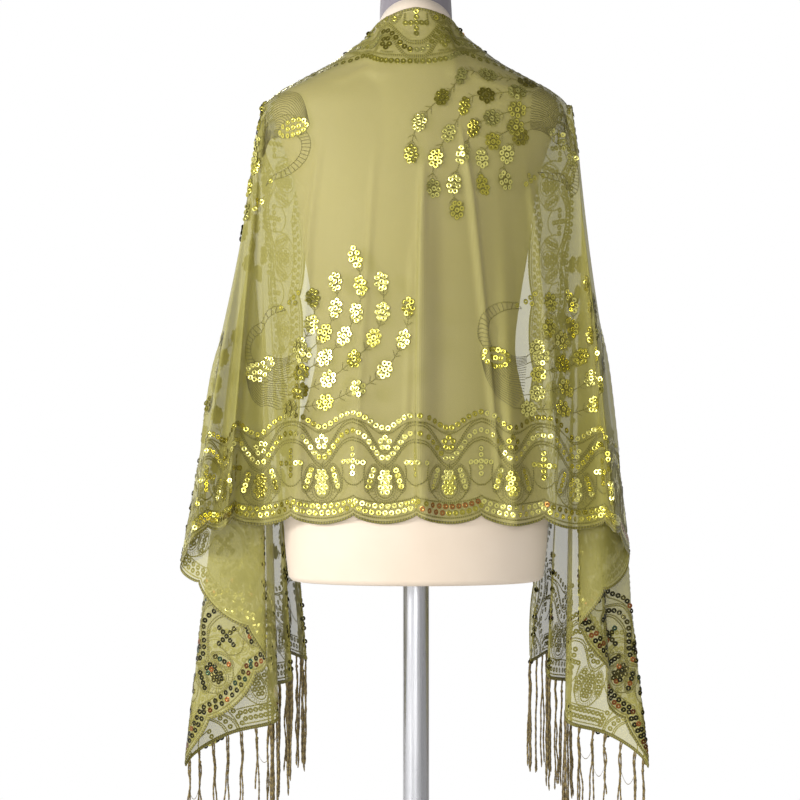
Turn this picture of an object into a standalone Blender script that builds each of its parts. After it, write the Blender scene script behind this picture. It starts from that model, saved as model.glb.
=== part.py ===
"""Evening stole of embroidered net, worn open over a limbless dress form on a stand.

Metres, +Z up. The wearer's front faces -Y, so the back of the stole faces +Y, and +X is the wearer's left.
The origin is on the floor, at the middle of the stand's round base.

The stole is one rectangle of net. A place on it is (along, across): along is measured from the middle of the
back towards an end, across from the neck edge towards the hem. The back stretch hangs straight down from the
shoulder line. Each side stretch is a cone of pleats that hangs from the shoulder tip: its straight lines all
start there, and a short table says which way each of them points.
"""
import math

import bmesh
import bpy
from mathutils import Vector

# ---------------------------------------------------------------- sizes, in metres and degrees
GAP = 0.0003                 # between two pieces that touch
CLOTH = 0.0015               # thickness of the net wall
CLEAR = 0.0024               # from the form to the middle of the net wall
SEAM = 0.0003                # from the line where two stretches meet to the edge of each
LINE_SEAM = 0.0008           # the same along the shoulder line, where the net bends
TIP_SEAM = 0.0016            # added to that of the back by the shoulder tip, where the net turns sharply
TIP_SEAM_FADE = 0.16         # below the tip, where nothing is added any more

WIDTH = 0.65                 # neck edge to hem
SCALLOP_PITCH = 0.0925
SCALLOP_DEPTH = 0.011
SCALLOP_SHARPNESS = 0.7

END_ALONG = 10 * SCALLOP_PITCH       # middle of the back to an end
NECK_ALONG = SCALLOP_PITCH           # where the neck edge crosses the shoulder line
TIP_ALONG = 2.5 * SCALLOP_PITCH      # the shoulder tip, in the net's own sizes
TIP_ACROSS = 0.10

BACK_COLUMNS = 40
BACK_ROWS = 18
TOP_CLOSENESS = 0.7          # of the rows of the back: 0 is even, 1 packs them towards the shoulder line
HEM_COLUMNS = 30             # shoulder tip to the end, along the hem
CREST_HALF = 1.4             # degrees from the crest of a pleat to the columns beside it, along the end
CONE_ROWS = 15               # shoulder tip to hem or end: two steps of the neck edge each
EDGE_ROWS = 6                # in the strip along the neck edge
SHOULDER_COLUMNS = 6         # neck to shoulder tip, in front of the shoulder line

BUNCH_PITCH = 0.0175         # between two thread bunches of the fringe
FRINGE_LENGTH = 0.15
FRINGE_STRIP = 0.006
STRIP_GAP = 0.0013           # from the end of the net wall to the strip, which turns where the pleats do
FRINGE_SWAY = 0.002
FRINGE_RAGGED = 0.05         # how much longer or shorter a strand is than FRINGE_LENGTH
STEEPEST = 0.3               # least sine of the angle between the end's line and the way the net hangs
STRAND = 0.0016
STRAND_TAPER = 0.8           # width of a strand's tip, as a share of its root
STRAND_SPREAD = 0.0050       # between the two strands of a bunch

NECK_TOP = 1.555
NECK_TOP_HALF = 0.043
NECK_EDGE = 0.006            # rounding of its top edge
NECK_LEVELS = [0.0, 0.3, 0.7, 0.93, 1.0]     # shares of its height
NECK_UPRIGHT = 0.7           # how soon its sections turn level: below 1 is early
POLE_RADIUS = 0.017
BASE_RADIUS = 0.19
BASE_THICKNESS = 0.022
BASE_EDGE = 0.005            # rounding of the edges of the base and the collar
BASE_RISE = 0.010            # of its top face, from the rim to the collar
COLLAR_RADIUS = 0.034
COLLAR_HEIGHT = 0.045
COLLAR_FLARE = 0.020         # how far its foot reaches out
FLARE_RISE = 0.008           # and how high

FORM_POINTS = 36             # round the form
BASE_POINTS = 32             # round the base
POLE_POINTS = 24             # round the pole
LINE_SAMPLES = 90            # of a line down the back, closer together towards its top
AVERAGE_STEPS = 8            # each way, where a table is averaged
SHARP_ANGLE = 40.0           # above which an edge is drawn sharp

# The form, from its neck seam down. tilt is the forward lean of the section, in degrees.
FORM = [
    # height, half_width, front, back, tilt
    (1.4590, 0.0480, 0.050, 0.055, 29.0),
    (1.4500, 0.0540, 0.053, 0.058, 21.0),
    (1.4410, 0.0620, 0.055, 0.060, 14.0),
    (1.4330, 0.0720, 0.057, 0.063, 9.0),
    (1.4230, 0.0860, 0.060, 0.067, 5.0),
    (1.4130, 0.1010, 0.063, 0.071, 2.0),
    (1.4030, 0.1180, 0.066, 0.075, 0.0),
    (1.3930, 0.1370, 0.069, 0.079, 0.0),
    (1.3830, 0.1560, 0.072, 0.082, 0.0),
    (1.3740, 0.1720, 0.076, 0.085, 0.0),
    (1.3640, 0.1820, 0.080, 0.088, 0.0),
    (1.3500, 0.1860, 0.085, 0.091, 0.0),
    (1.3300, 0.1820, 0.093, 0.094, 0.0),
    (1.3000, 0.1710, 0.103, 0.098, 0.0),
    (1.2600, 0.1590, 0.113, 0.101, 0.0),
    (1.2200, 0.1520, 0.118, 0.100, 0.0),
    (1.1700, 0.1460, 0.116, 0.096, 0.0),
    (1.1100, 0.1360, 0.104, 0.088, 0.0),
    (1.0400, 0.1290, 0.090, 0.081, 0.0),
    (0.9800, 0.1400, 0.094, 0.093, 0.0),
    (0.9200, 0.1590, 0.102, 0.110, 0.0),
    (0.8600, 0.1700, 0.106, 0.119, 0.0),
    (0.8000, 0.1710, 0.105, 0.117, 0.0),
    (0.7400, 0.1650, 0.101, 0.112, 0.0),
]
SHOULDER_ROWS = 11           # of the form, from the neck seam to the shoulder tip
TORSO_FLOOR = FORM[-1][0]

# Each side of the drape: sign of x, x where the neck edge crosses the shoulder line, and the shoulder tip.
SIDES = {
    "left": dict(sign=1, neck_x=0.0546, tip_x=0.1990, tip_z=1.3620),
    "right": dict(sign=-1, neck_x=0.0500, tip_x=0.2030, tip_z=1.3570),
}
SHOULDER_END = 0.180         # x up to which the net lies on the form's shoulder line

# Middle of the back, from the neck edge down.
BACK_LINE = [
    # height, depth
    (1.480, 0.066),
    (1.440, 0.073),
    (1.400, 0.085),
    (1.350, 0.097),
    (1.300, 0.103),
    (1.240, 0.107),
    (0.860, 0.123),
    (0.800, 0.125),
]
TIP_LEAN = 5.7               # how far the back hangs behind the shoulder tip, in degrees
NECK_RISE = 0.019            # of the neck edge, at the nape
NAPE_BLEND = 0.06            # below the neck edge, where the back comes free of the neck
RIDGE_BLEND = 0.12           # below the shoulder line, where the back hangs free
SPREAD_BLEND = 0.25          # below the top, where the columns of the back are evenly spread
HEM_HEIGHT = 0.820           # middle of the back

# Vertical folds of the back: raised towards +Y. start and full are across the net.
BACK_FOLDS = [
    # along, drift, height, half_width, start, full
    (-0.185, -0.020, 0.012, 0.020, 0.20, 0.60),
    (-0.108, -0.035, 0.016, 0.014, 0.22, 0.62),
    (-0.016, 0.004, 0.014, 0.013, 0.14, 0.45),
    (0.072, 0.016, 0.010, 0.022, 0.26, 0.65),
    (0.158, 0.022, 0.013, 0.018, 0.20, 0.60),
]

# Which way the net hangs from the shoulder tip. angle is measured on the flat net, from straight down the
# back towards the end. outward and forward are the tilt from straight down.
HANG = {
    "left": [
        # angle, outward, forward
        (0.0, 0.0, -5.7),
        (3.5, 3.2, -5.0),
        (8.5, 4.2, -9.8),
        (13.0, 5.9, -5.6),
        (17.5, 8.4, -8.6),
        (22.5, 8.8, -3.6),
        (27.0, 9.9, 0.9),
        (32.0, 6.4, -1.6),
        (37.0, 1.8, -3.6),
        (41.0, -1.2, -3.4),
        (46.0, 2.6, -0.4),
        (51.2, 6.8, 2.4),
        (57.2, 3.0, 5.6),
        (63.2, -1.6, 5.2),
        (69.5, -0.2, 10.2),
        (76.0, -3.0, 5.4),
        (83.0, -2.0, 11.4),
        (90.0, -4.4, 6.4),
        (98.2, -3.4, 11.6),
        (105.0, -6.2, 13.8),
        (112.0, -10.2, 17.8),
        (130.0, -20.5, 30.5),
        (155.0, -44.0, 39.5),
        (180.0, -69.0, 37.5),
        (208.0, -97.0, 24.0),
    ],
    "right": [
        # angle, outward, forward
        (0.0, 0.0, -5.7),
        (5.0, 4.2, -5.0),
        (11.0, 4.8, -10.0),
        (17.5, 6.2, -4.8),
        (24.0, 7.0, 0.8),
        (30.5, 3.6, -2.8),
        (36.5, 0.0, -1.8),
        (41.5, 3.4, -0.8),
        (46.0, 3.2, 3.2),
        (51.2, 6.8, 3.4),
        (57.5, 3.4, 6.2),
        (64.0, -0.6, 5.8),
        (71.0, 0.4, 11.2),
        (78.0, -2.4, 6.2),
        (85.0, -1.8, 12.4),
        (91.5, -4.0, 7.2),
        (98.2, -3.8, 12.4),
        (105.0, -7.0, 15.4),
        (112.0, -10.6, 18.8),
        (130.0, -20.5, 30.5),
        (155.0, -44.0, 39.5),
        (180.0, -69.0, 37.5),
        (208.0, -97.0, 24.0),
    ],
}
PLEATS_END = 112.0           # angle of the last pleat
PLEAT_START = 0.06           # from the shoulder tip, where the pleats begin
PLEAT_FULL = 0.36            # where they are at their full depth
PLEAT_SPAN = 13.0            # degrees each way that are averaged where there are no pleats
CREST_SPAN = 1.6             # the same where they are full, which rounds their crests
TIP_OUT = 0.006              # the shoulder tip is round: how far the net beside it swells outward,
TIP_FRONT = 0.026            # and how far in front of it the front hangs
TIP_BLEND = 0.07             # from the shoulder tip, where that roundness is complete
TIP_ROOM = 0.008             # between the form's shoulder end and the net beside it
TIP_ROOM_TOP, TIP_ROOM_FULL = 1.376, 1.352   # heights between which that room opens
LINE_START = 130.0           # angle from which the net settles on the shoulder line
FRONT_DROP = 0.07            # share by which the net, pulled by its own weight, hangs longer in front,
DROP_START = (52.0, 68.0)    # angles between which that begins,
DROP_END = (104.0, 150.0)    # and between which it ends


# ---------------------------------------------------------------- curves through tables
def read_curve(rows, key, column):
    """Smooth value of one column of a table, at a value of its first column, which falls or rises."""
    if (rows[0][0] - rows[-1][0]) > 0:
        rows = rows[::-1]
    if key <= rows[0][0]:
        return rows[0][column]
    if key >= rows[-1][0]:
        return rows[-1][column]
    index = 0
    while rows[index + 1][0] < key:
        index += 1
    low, high = rows[index], rows[index + 1]
    span = high[0] - low[0]
    step = (key - low[0]) / span

    def slope(at):
        if at == 0 or at == len(rows) - 1:
            first, second = (0, 1) if at == 0 else (at - 1, at)
        else:
            first, second = at - 1, at + 1
        return (rows[second][column] - rows[first][column]) / (rows[second][0] - rows[first][0])

    square, cube = step * step, step * step * step
    return ((2 * cube - 3 * square + 1) * low[column] + (cube - 2 * square + step) * span * slope(index)
            + (3 * square - 2 * cube) * high[column] + (cube - square) * span * slope(index + 1))


def ease(value, start, full):
    """0 before start, 1 after full, and smooth between them."""
    share = min(1.0, max(0.0, (value - start) / (full - start)))
    return share * share * (3 - 2 * share)


def mix(first, second, share):
    return first + (second - first) * share


# ---------------------------------------------------------------- the form's surface
def form_depth(across, height, column):
    """How far the form, grown by CLEAR, reaches to the front (column 2) or the back (3) of a place."""
    side = -1 if column == 2 else 1
    depth, level = 0.0, height
    for _ in range(6):
        level = height - CLEAR - side * depth * math.tan(math.radians(read_curve(FORM, level, 4)))
        room = TIP_ROOM * (1 - ease(level, TIP_ROOM_FULL, TIP_ROOM_TOP))
        half = read_curve(FORM, level, 1) + CLEAR + room
        if abs(across) >= half or level > FORM[0][0]:
            return 0.0
        depth = (read_curve(FORM, level, column) + CLEAR) * math.sqrt(1 - (across / half) ** 2)
    return depth


SHOULDER_LINE = [(row[1], row[0]) for row in FORM[:SHOULDER_ROWS]]


def shoulder_height(side, x):
    """Height of the net on the shoulder line, at a distance from the middle."""
    if x <= SHOULDER_END:
        return read_curve(SHOULDER_LINE, x - CLEAR, 1) + CLEAR
    share = (x - SHOULDER_END) / (side["tip_x"] - SHOULDER_END)
    return mix(shoulder_height(side, SHOULDER_END), side["tip_z"], share)


# ---------------------------------------------------------------- the net's surface
def scallop(along):
    """How far the edge lies inside the cut, at a place along it."""
    wave = abs(math.sin(math.pi * along / SCALLOP_PITCH))
    return SCALLOP_DEPTH * (1 - wave ** SCALLOP_SHARPNESS)


def shoulder_across(along):
    """Where the shoulder line lies across the net."""
    return mix(SCALLOP_DEPTH, TIP_ACROSS, (along - NECK_ALONG) / (TIP_ALONG - NECK_ALONG))


def back_fold(along, across):
    total = 0.0
    for place, drift, height, half_width, start, full in BACK_FOLDS:
        centre = place + drift * across / WIDTH
        total += height * ease(across, start, full) * math.exp(-((along - centre) / half_width) ** 2)
    return total


def back_line(along):
    """Closely spaced points of one line down the back, and the distance across the net where it starts."""
    side = SIDES["left" if along >= 0 else "right"]
    away = abs(along)
    by_neck = away < NECK_ALONG
    if by_neck:
        turn = math.pi / 2 * away / NECK_ALONG
        start = Vector((side["sign"] * side["neck_x"] * math.sin(turn), BACK_LINE[0][1] * math.cos(turn),
                        shoulder_height(side, side["neck_x"]) + SCALLOP_DEPTH + NECK_RISE * math.cos(turn)))
        start_across = 0.0
    else:
        x = mix(side["neck_x"], side["tip_x"], (away - NECK_ALONG) / (TIP_ALONG - NECK_ALONG))
        start = Vector((side["sign"] * x, 0.0, shoulder_height(side, x)))
        start_across = shoulder_across(away)
    length = WIDTH + SCALLOP_PITCH
    line = [start]
    for index in range(1, LINE_SAMPLES + 1):
        drop = length * (index / LINE_SAMPLES) ** 2
        height = start.z - drop
        x = mix(start.x, side["sign"] * side["tip_x"] * away / TIP_ALONG, ease(drop, 0.0, SPREAD_BLEND))
        lean = math.tan(math.radians(TIP_LEAN)) * max(0.0, side["tip_z"] - height)
        bow = math.cos(math.pi / 2 * min(1.0, abs(x) / side["tip_x"]))
        free = mix(lean, read_curve(BACK_LINE, height, 1), bow)
        depth = mix(start.y, free, ease(drop, 0.0, NAPE_BLEND if by_neck else RIDGE_BLEND))
        line.append(Vector((x, max(depth, form_depth(x, height, 3)), height)))
    return line, start_across


def back_points(along, acrosses):
    """Points of one line down the back. The net gives a little, so that its hem hangs level."""
    side = SIDES["left" if along >= 0 else "right"]
    line, start_across = back_line(along)
    reached = [0.0]
    for before, after in zip(line, line[1:]):
        reached.append(reached[-1] + (after - before).length)
    tip_hem = side["tip_z"] - (WIDTH - TIP_ACROSS) * math.cos(math.radians(TIP_LEAN))
    hem = mix(HEM_HEIGHT, tip_hem, (along / TIP_ALONG) ** 2)
    below = next(index for index, point in enumerate(line) if point.z < hem)
    share = (line[below - 1].z - hem) / (line[below - 1].z - line[below].z)
    give = mix(reached[below - 1], reached[below], share) / (WIDTH - start_across)
    points = []
    for across in acrosses:
        wanted = (across - start_across) * give
        index = 0
        while index < len(line) - 2 and reached[index + 1] < wanted:
            index += 1
        share = (wanted - reached[index]) / (reached[index + 1] - reached[index])
        point = line[index].lerp(line[index + 1], share)
        point.y += back_fold(along, across)
        points.append(point)
    return points


def hang_tilt(rows, angle, spread):
    """outward and forward of a hanging table, averaged over spread degrees each way."""
    reach = min(spread, angle - rows[0][0], rows[-1][0] - angle)
    count = 2 * AVERAGE_STEPS + 1
    outward = forward = 0.0
    for index in range(count):
        at = angle + reach * (index / AVERAGE_STEPS - 1)
        outward += read_curve(rows, at, 1) / count
        forward += read_curve(rows, at, 2) / count
    return outward, forward


def hang_rows(name):
    """The hanging table, ended by the shoulder line itself."""
    side = SIDES[name]
    flat = 180.0 + math.degrees(math.atan2(TIP_ALONG - NECK_ALONG, TIP_ACROSS - SCALLOP_DEPTH))
    rise = shoulder_height(side, side["neck_x"]) - side["tip_z"]
    worn = 180.0 - math.degrees(math.atan2(side["tip_x"] - side["neck_x"], rise))
    return HANG[name] + [(flat, -worn, 0.0)]


def side_point(name, along, across):
    """Place of a point of a side stretch."""
    side = SIDES[name]
    rows = hang_rows(name)
    last = rows[-1][0]
    tip_x, tip_z = side["tip_x"], side["tip_z"]
    neck_x, neck_z = side["neck_x"], shoulder_height(side, side["neck_x"])
    out, down = along - TIP_ALONG, across - TIP_ACROSS
    radius = math.hypot(out, down)
    angle = math.degrees(math.atan2(out, down)) % 360
    if angle > (last + 360) / 2:
        angle = 0.0
    angle = min(angle, last)
    full = ease(radius, PLEAT_START, PLEAT_FULL)
    sharp = hang_tilt(rows, angle, CREST_SPAN)
    soft = hang_tilt(rows, angle, PLEAT_SPAN)
    outward = mix(soft[0], sharp[0], full)
    forward = mix(soft[1], sharp[1], full)
    tilt = math.radians(math.hypot(outward, forward))
    bearing = math.atan2(forward, outward)
    # towards the shoulder line the net takes its length and its sag
    on_line = ease(angle, LINE_START, last)
    flat_line = math.hypot(TIP_ALONG - NECK_ALONG, TIP_ACROSS - SCALLOP_DEPTH)
    worn_line = math.hypot(tip_x - neck_x, neck_z - tip_z)
    radius *= mix(1.0, worn_line / flat_line, on_line)
    radius *= 1 + FRONT_DROP * ease(angle, *DROP_START) * (1 - ease(angle, *DROP_END))
    round_tip = ease(radius, 0.0, TIP_BLEND)
    turn = min(angle, PLEATS_END) / PLEATS_END
    swell = round_tip * TIP_OUT * math.sin(math.pi * turn)
    front = round_tip * TIP_FRONT * math.sin(math.pi / 2 * turn) * (1 - on_line)
    x = tip_x + radius * math.sin(tilt) * math.cos(bearing) + swell
    y = -radius * math.sin(tilt) * math.sin(bearing) - front
    z = tip_z - radius * math.cos(tilt)
    if neck_x < x < tip_x:
        straight = mix(neck_z, tip_z, (x - neck_x) / (tip_x - neck_x))
        z -= on_line * (straight - shoulder_height(side, x))
    if y < 0 or on_line > 0:
        y = min(y, -form_depth(x, z, 2))
    return Vector((side["sign"] * x, y, z))


# ---------------------------------------------------------------- making objects
def make_material(name, colour, roughness, metallic=0.0):
    material = bpy.data.materials.new(name)
    material.use_nodes = True
    shader = material.node_tree.nodes["Principled BSDF"]
    shader.inputs["Base Color"].default_value = (*colour, 1.0)
    shader.inputs["Roughness"].default_value = roughness
    shader.inputs["Metallic"].default_value = metallic
    return material


def make_object(name, points, faces, material):
    mesh = bpy.data.meshes.new(name)
    mesh.from_pydata([tuple(point) for point in points], [], faces)
    working = bmesh.new()
    working.from_mesh(mesh)
    bmesh.ops.recalc_face_normals(working, faces=working.faces)
    working.to_mesh(mesh)
    working.free()
    mesh.shade_smooth()
    mesh.set_sharp_from_angle(angle=math.radians(SHARP_ANGLE))
    mesh.materials.append(material)
    made = bpy.data.objects.new(name, mesh)
    bpy.context.scene.collection.objects.link(made)
    return made


def add_wall(made):
    """Gives an open sheet the net's thickness, half to each side."""
    wall = made.modifiers.new("wall", "SOLIDIFY")
    wall.thickness = CLOTH
    wall.offset = 0.0
    wall.use_even_offset = False
    wall.use_rim = True
    return made


def stack_rings(rings):
    """Points and faces of a closed solid through rings of equal count, with flat ends."""
    count = len(rings[0])
    points = [point for ring in rings for point in ring]
    faces = [list(range(count))]
    for level in range(len(rings) - 1):
        for index in range(count):
            following = (index + 1) % count
            faces.append([level * count + index, level * count + following,
                          (level + 1) * count + following, (level + 1) * count + index])
    faces.append([(len(rings) - 1) * count + index for index in range(count)])
    return points, faces


# ---------------------------------------------------------------- the dress form
def form_ring(height, half_width, front, back, tilt, lift=0.0):
    ring = []
    for index in range(FORM_POINTS):
        turn = 2 * math.pi * index / FORM_POINTS
        depth = back if math.sin(turn) > 0 else front
        y = depth * math.sin(turn)
        ring.append(Vector((half_width * math.cos(turn), y,
                            height + lift + y * math.tan(math.radians(tilt)))))
    return ring


def build_torso(material):
    rings = [form_ring(*row) for row in FORM]
    points, faces = stack_rings(rings)
    return make_object("form_torso", points, faces, material)


def build_neck(material):
    _, half_width, front, back, tilt = FORM[0]
    rise = NECK_TOP - FORM[0][0]
    rings = []
    for share in NECK_LEVELS:
        shrink = NECK_EDGE if share == NECK_LEVELS[-1] else 0.0
        rings.append(form_ring(FORM[0][0] + rise * share,
                               mix(half_width, NECK_TOP_HALF, share) - shrink,
                               mix(front, NECK_TOP_HALF, share) - shrink,
                               mix(back, NECK_TOP_HALF, share) - shrink,
                               mix(tilt, 0.0, share ** NECK_UPRIGHT), GAP))
    points, faces = stack_rings(rings)
    return make_object("form_neck", points, faces, material)


def build_turned(name, profile, material, count):
    """A solid turned about the vertical axis, from (radius, height) pairs, bottom first."""
    rings = []
    for radius, height in profile:
        rings.append([Vector((radius * math.cos(2 * math.pi * index / count),
                              radius * math.sin(2 * math.pi * index / count), height))
                      for index in range(count)])
    points, faces = stack_rings(rings)
    return make_object(name, points, faces, material)


def build_stand(metal, painted):
    collar_foot = BASE_THICKNESS + BASE_RISE
    collar_top = collar_foot + COLLAR_HEIGHT
    build_turned("form_base", [
        (BASE_RADIUS - BASE_EDGE, 0.0),
        (BASE_RADIUS, BASE_EDGE),
        (BASE_RADIUS, BASE_THICKNESS - BASE_EDGE),
        (BASE_RADIUS - BASE_EDGE, BASE_THICKNESS),
        (COLLAR_RADIUS + COLLAR_FLARE, collar_foot),
        (COLLAR_RADIUS, collar_foot + FLARE_RISE),
        (COLLAR_RADIUS, collar_top - BASE_EDGE),
        (COLLAR_RADIUS - BASE_EDGE, collar_top),
    ], painted, BASE_POINTS)
    build_turned("form_pole", [
        (POLE_RADIUS, collar_top + GAP),
        (POLE_RADIUS, TORSO_FLOOR - GAP),
    ], metal, POLE_POINTS)


# ---------------------------------------------------------------- the net
def build_back(material):
    shares = [row / BACK_ROWS for row in range(BACK_ROWS + 1)]
    shares = [share * mix(1.0, share, TOP_CLOSENESS) for share in shares]
    points, faces = [], []
    for column in range(BACK_COLUMNS + 1):
        side_share = 2 * column / BACK_COLUMNS - 1
        along = side_share * (TIP_ALONG - SEAM)
        away = abs(along)
        top = scallop(along) if away < NECK_ALONG else shoulder_across(away) + LINE_SEAM
        bottom = WIDTH - scallop(along)
        acrosses = [mix(top, bottom, share) for share in shares]
        line = back_points(along, acrosses)
        if column in (0, BACK_COLUMNS):
            inner = back_points(along * (1 - TIP_SEAM / TIP_ALONG), acrosses)
            line = [inside.lerp(point, ease(share, 0.0, TIP_SEAM_FADE / (WIDTH - TIP_ACROSS)))
                    for inside, point, share in zip(inner, line, shares)]
        points += line
    count = BACK_ROWS + 1
    for column in range(BACK_COLUMNS):
        for row in range(BACK_ROWS):
            here, there = column * count + row, (column + 1) * count + row
            faces.append([here, there, there + 1, here + 1])
    return add_wall(make_object("stole_back", points, faces, material))


class Patchwork:
    """Faces of a side stretch, drawn on the flat net. Corners at the same place are one point."""

    def __init__(self, name):
        self.name = name
        self.points, self.faces, self.index_of = [], [], {}

    def corner(self, place):
        key = (round(place[0], 6), round(place[1], 6))
        if key not in self.index_of:
            self.index_of[key] = len(self.points)
            self.points.append(side_point(self.name, *key))
        return self.index_of[key]

    def face(self, *places):
        corners = []
        for place in places:
            index = self.corner(place)
            if index not in corners:
                corners.append(index)
        if len(corners) > 2:
            self.faces.append(corners)


def cone_edge(name):
    """The edge of a side stretch on the flat net, from the seam along the hem and up the end."""
    tip = TIP_ALONG + SEAM
    edge = []
    for column in range(HEM_COLUMNS + 1):
        along = mix(tip, END_ALONG, column / HEM_COLUMNS)
        edge.append((along, WIDTH - scallop(along)))
    reach = END_ALONG - TIP_ALONG
    first = math.degrees(math.atan2(reach, WIDTH - SCALLOP_DEPTH - TIP_ACROSS)) + CREST_HALF
    last = math.degrees(math.atan2(reach, SCALLOP_DEPTH - TIP_ACROSS)) - CREST_HALF
    edge.append((END_ALONG, TIP_ACROSS + reach / math.tan(math.radians(first))))
    for angle, _, _ in HANG[name]:
        if first + CREST_HALF < angle < last - CREST_HALF:
            for beside in (angle - CREST_HALF, angle + CREST_HALF):
                edge.append((END_ALONG, TIP_ACROSS + reach / math.tan(math.radians(beside))))
    edge.append((END_ALONG, TIP_ACROSS + reach / math.tan(math.radians(last))))
    edge.append((END_ALONG, SCALLOP_DEPTH))
    return edge


def build_side(name, material):
    patch = Patchwork(name)
    tip = (TIP_ALONG + SEAM, TIP_ACROSS - LINE_SEAM)
    edge = cone_edge(name)

    def on_ray(target, row):
        share = row / CONE_ROWS
        return mix(tip[0], target[0], share), mix(tip[1], target[1], share)

    for first, second in zip(edge, edge[1:]):
        for row in range(CONE_ROWS):
            patch.face(on_ray(first, row), on_ray(first, row + 1),
                       on_ray(second, row + 1), on_ray(second, row))

    def on_strip(step, row):
        """step counts half rows of the last ray, row goes from that ray (0) to the neck edge."""
        base = on_ray(edge[-1], step / 2)
        return base[0], mix(base[1], scallop(base[0]), row / EDGE_ROWS)

    for step in range(0, 2 * CONE_ROWS, 2):
        patch.face(on_strip(step, 0), on_strip(step + 2, 0), on_strip(step + 2, 1), on_strip(step + 1, 1),
                   on_strip(step, 1))
        for half in (step, step + 1):
            for row in range(1, EDGE_ROWS):
                patch.face(on_strip(half, row), on_strip(half + 1, row), on_strip(half + 1, row + 1),
                           on_strip(half, row + 1))

    def on_shoulder(column, row):
        along = mix(NECK_ALONG, tip[0], column / SHOULDER_COLUMNS)
        line = mix(SCALLOP_DEPTH, tip[1], column / SHOULDER_COLUMNS)
        return along, mix(line, scallop(along), row / EDGE_ROWS)

    for column in range(SHOULDER_COLUMNS):
        for row in range(EDGE_ROWS):
            patch.face(on_shoulder(column, row), on_shoulder(column + 1, row),
                       on_shoulder(column + 1, row + 1), on_shoulder(column, row + 1))
    return add_wall(make_object("stole_" + name, patch.points, patch.faces, material))


# ---------------------------------------------------------------- the fringe
def end_line(name):
    """Corners of the net's end, and the way the net hangs at each of them."""
    tip = (TIP_ALONG + SEAM, TIP_ACROSS - LINE_SEAM)
    share = (CONE_ROWS - 1) / CONE_ROWS
    corners = []
    for place in cone_edge(name)[HEM_COLUMNS:]:
        inside = side_point(name, mix(tip[0], place[0], share), mix(tip[1], place[1], share))
        corner = side_point(name, *place)
        corners.append((corner, (corner - inside).normalized()))
    return corners


def build_fringe(name, material):
    """A narrow pleated strip under the end, with each strand drawn down from a face of its lower rim."""
    corners = end_line(name)
    lengths = [0.0]
    for (before, _), (after, _) in zip(corners, corners[1:]):
        lengths.append(lengths[-1] + (after - before).length)

    def at(distance):
        index = 0
        while index < len(lengths) - 2 and lengths[index + 1] < distance:
            index += 1
        share = (distance - lengths[index]) / (lengths[index + 1] - lengths[index])
        return (corners[index][0].lerp(corners[index + 1][0], share),
                corners[index][1].lerp(corners[index + 1][1], share).normalized())

    places, roots = [], []
    for start, stop in zip(lengths, lengths[1:]):
        places.append(start)
        bunches = round((stop - start) / BUNCH_PITCH)
        for bunch in range(bunches):
            for way in (-0.5, 0.5):
                place = mix(start, stop, (bunch + 0.5) / bunches) + way * STRAND_SPREAD
                roots.append(len(places))
                places += [place - STRAND / 2, place + STRAND / 2]
    places.append(lengths[-1])
    points, faces = [], []
    for place in places:
        corner, hang = at(place)
        along = (at(place + STRAND)[0] - at(place - STRAND)[0]).normalized()
        across = along.cross(hang)
        normal = across.normalized() * CLOTH / 2
        near = corner + hang * STRIP_GAP / max(across.length, STEEPEST)
        far = near + hang * FRINGE_STRIP
        points += [near - normal, near + normal, far + normal, far - normal]
    last = (len(places) - 1) * 4
    faces.append([0, 1, 2, 3])
    faces.append([last, last + 3, last + 2, last + 1])
    for index in range(len(places) - 1):
        here, there = index * 4, index * 4 + 4
        is_strand = index in roots
        for side in range(4):
            following = (side + 1) % 4
            if not (is_strand and side == 2):
                faces.append([here + side, there + side, there + following, here + following])
        if is_strand:
            root = [here + 2, there + 2, there + 3, here + 3]
            bunch, way = divmod(roots.index(index), 2)
            sway = FRINGE_SWAY * math.sin(bunch)
            drop = FRINGE_LENGTH * (1 + FRINGE_RAGGED * math.sin(2 * bunch + way)) - FRINGE_STRIP
            centre = sum((points[corner] for corner in root), Vector()) / 4
            tips = list(range(len(points), len(points) + 4))
            fall = Vector((sway, sway / 2, -drop))
            points += [centre + (points[corner] - centre) * STRAND_TAPER + fall for corner in root]
            for corner in range(4):
                following = (corner + 1) % 4
                faces.append([root[corner], root[following], tips[following], tips[corner]])
            faces.append(tips)
    return make_object("fringe_" + name, points, faces, material)


def main():
    for existing in list(bpy.data.objects):
        bpy.data.objects.remove(existing, do_unlink=True)
    net = make_material("olive_net", (0.34, 0.32, 0.13), 0.6)
    thread = make_material("bronze_thread", (0.20, 0.15, 0.06), 0.5)
    cover = make_material("form_cover", (0.70, 0.63, 0.55), 0.9)
    band = make_material("neck_band", (0.48, 0.46, 0.50), 0.8)
    metal = make_material("pole_metal", (0.62, 0.62, 0.63), 0.3, 1.0)
    painted = make_material("base_paint", (0.80, 0.79, 0.77), 0.4)
    build_torso(cover)
    build_neck(band)
    build_stand(metal, painted)
    build_back(net)
    for name in SIDES:
        build_side(name, net)
        build_fringe(name, thread)


main()
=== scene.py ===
"""Looks of the embroidered net stole, worn over a limbless dress form.

The net is one sheet, drawn as a fine grid on the same drape as its solids. All embroidery is laid out flat on the
net, at its real size, and then carried onto the grid: a place on the net is (along, across), in metres, where
along is measured from the middle of the back towards an end and across from the neck edge towards the hem.
"""
import itertools
import random
from math import atan2, cos, degrees, dist, exp, hypot, pi, radians, sin, sqrt, tan

import bpy
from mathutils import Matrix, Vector, noise


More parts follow.
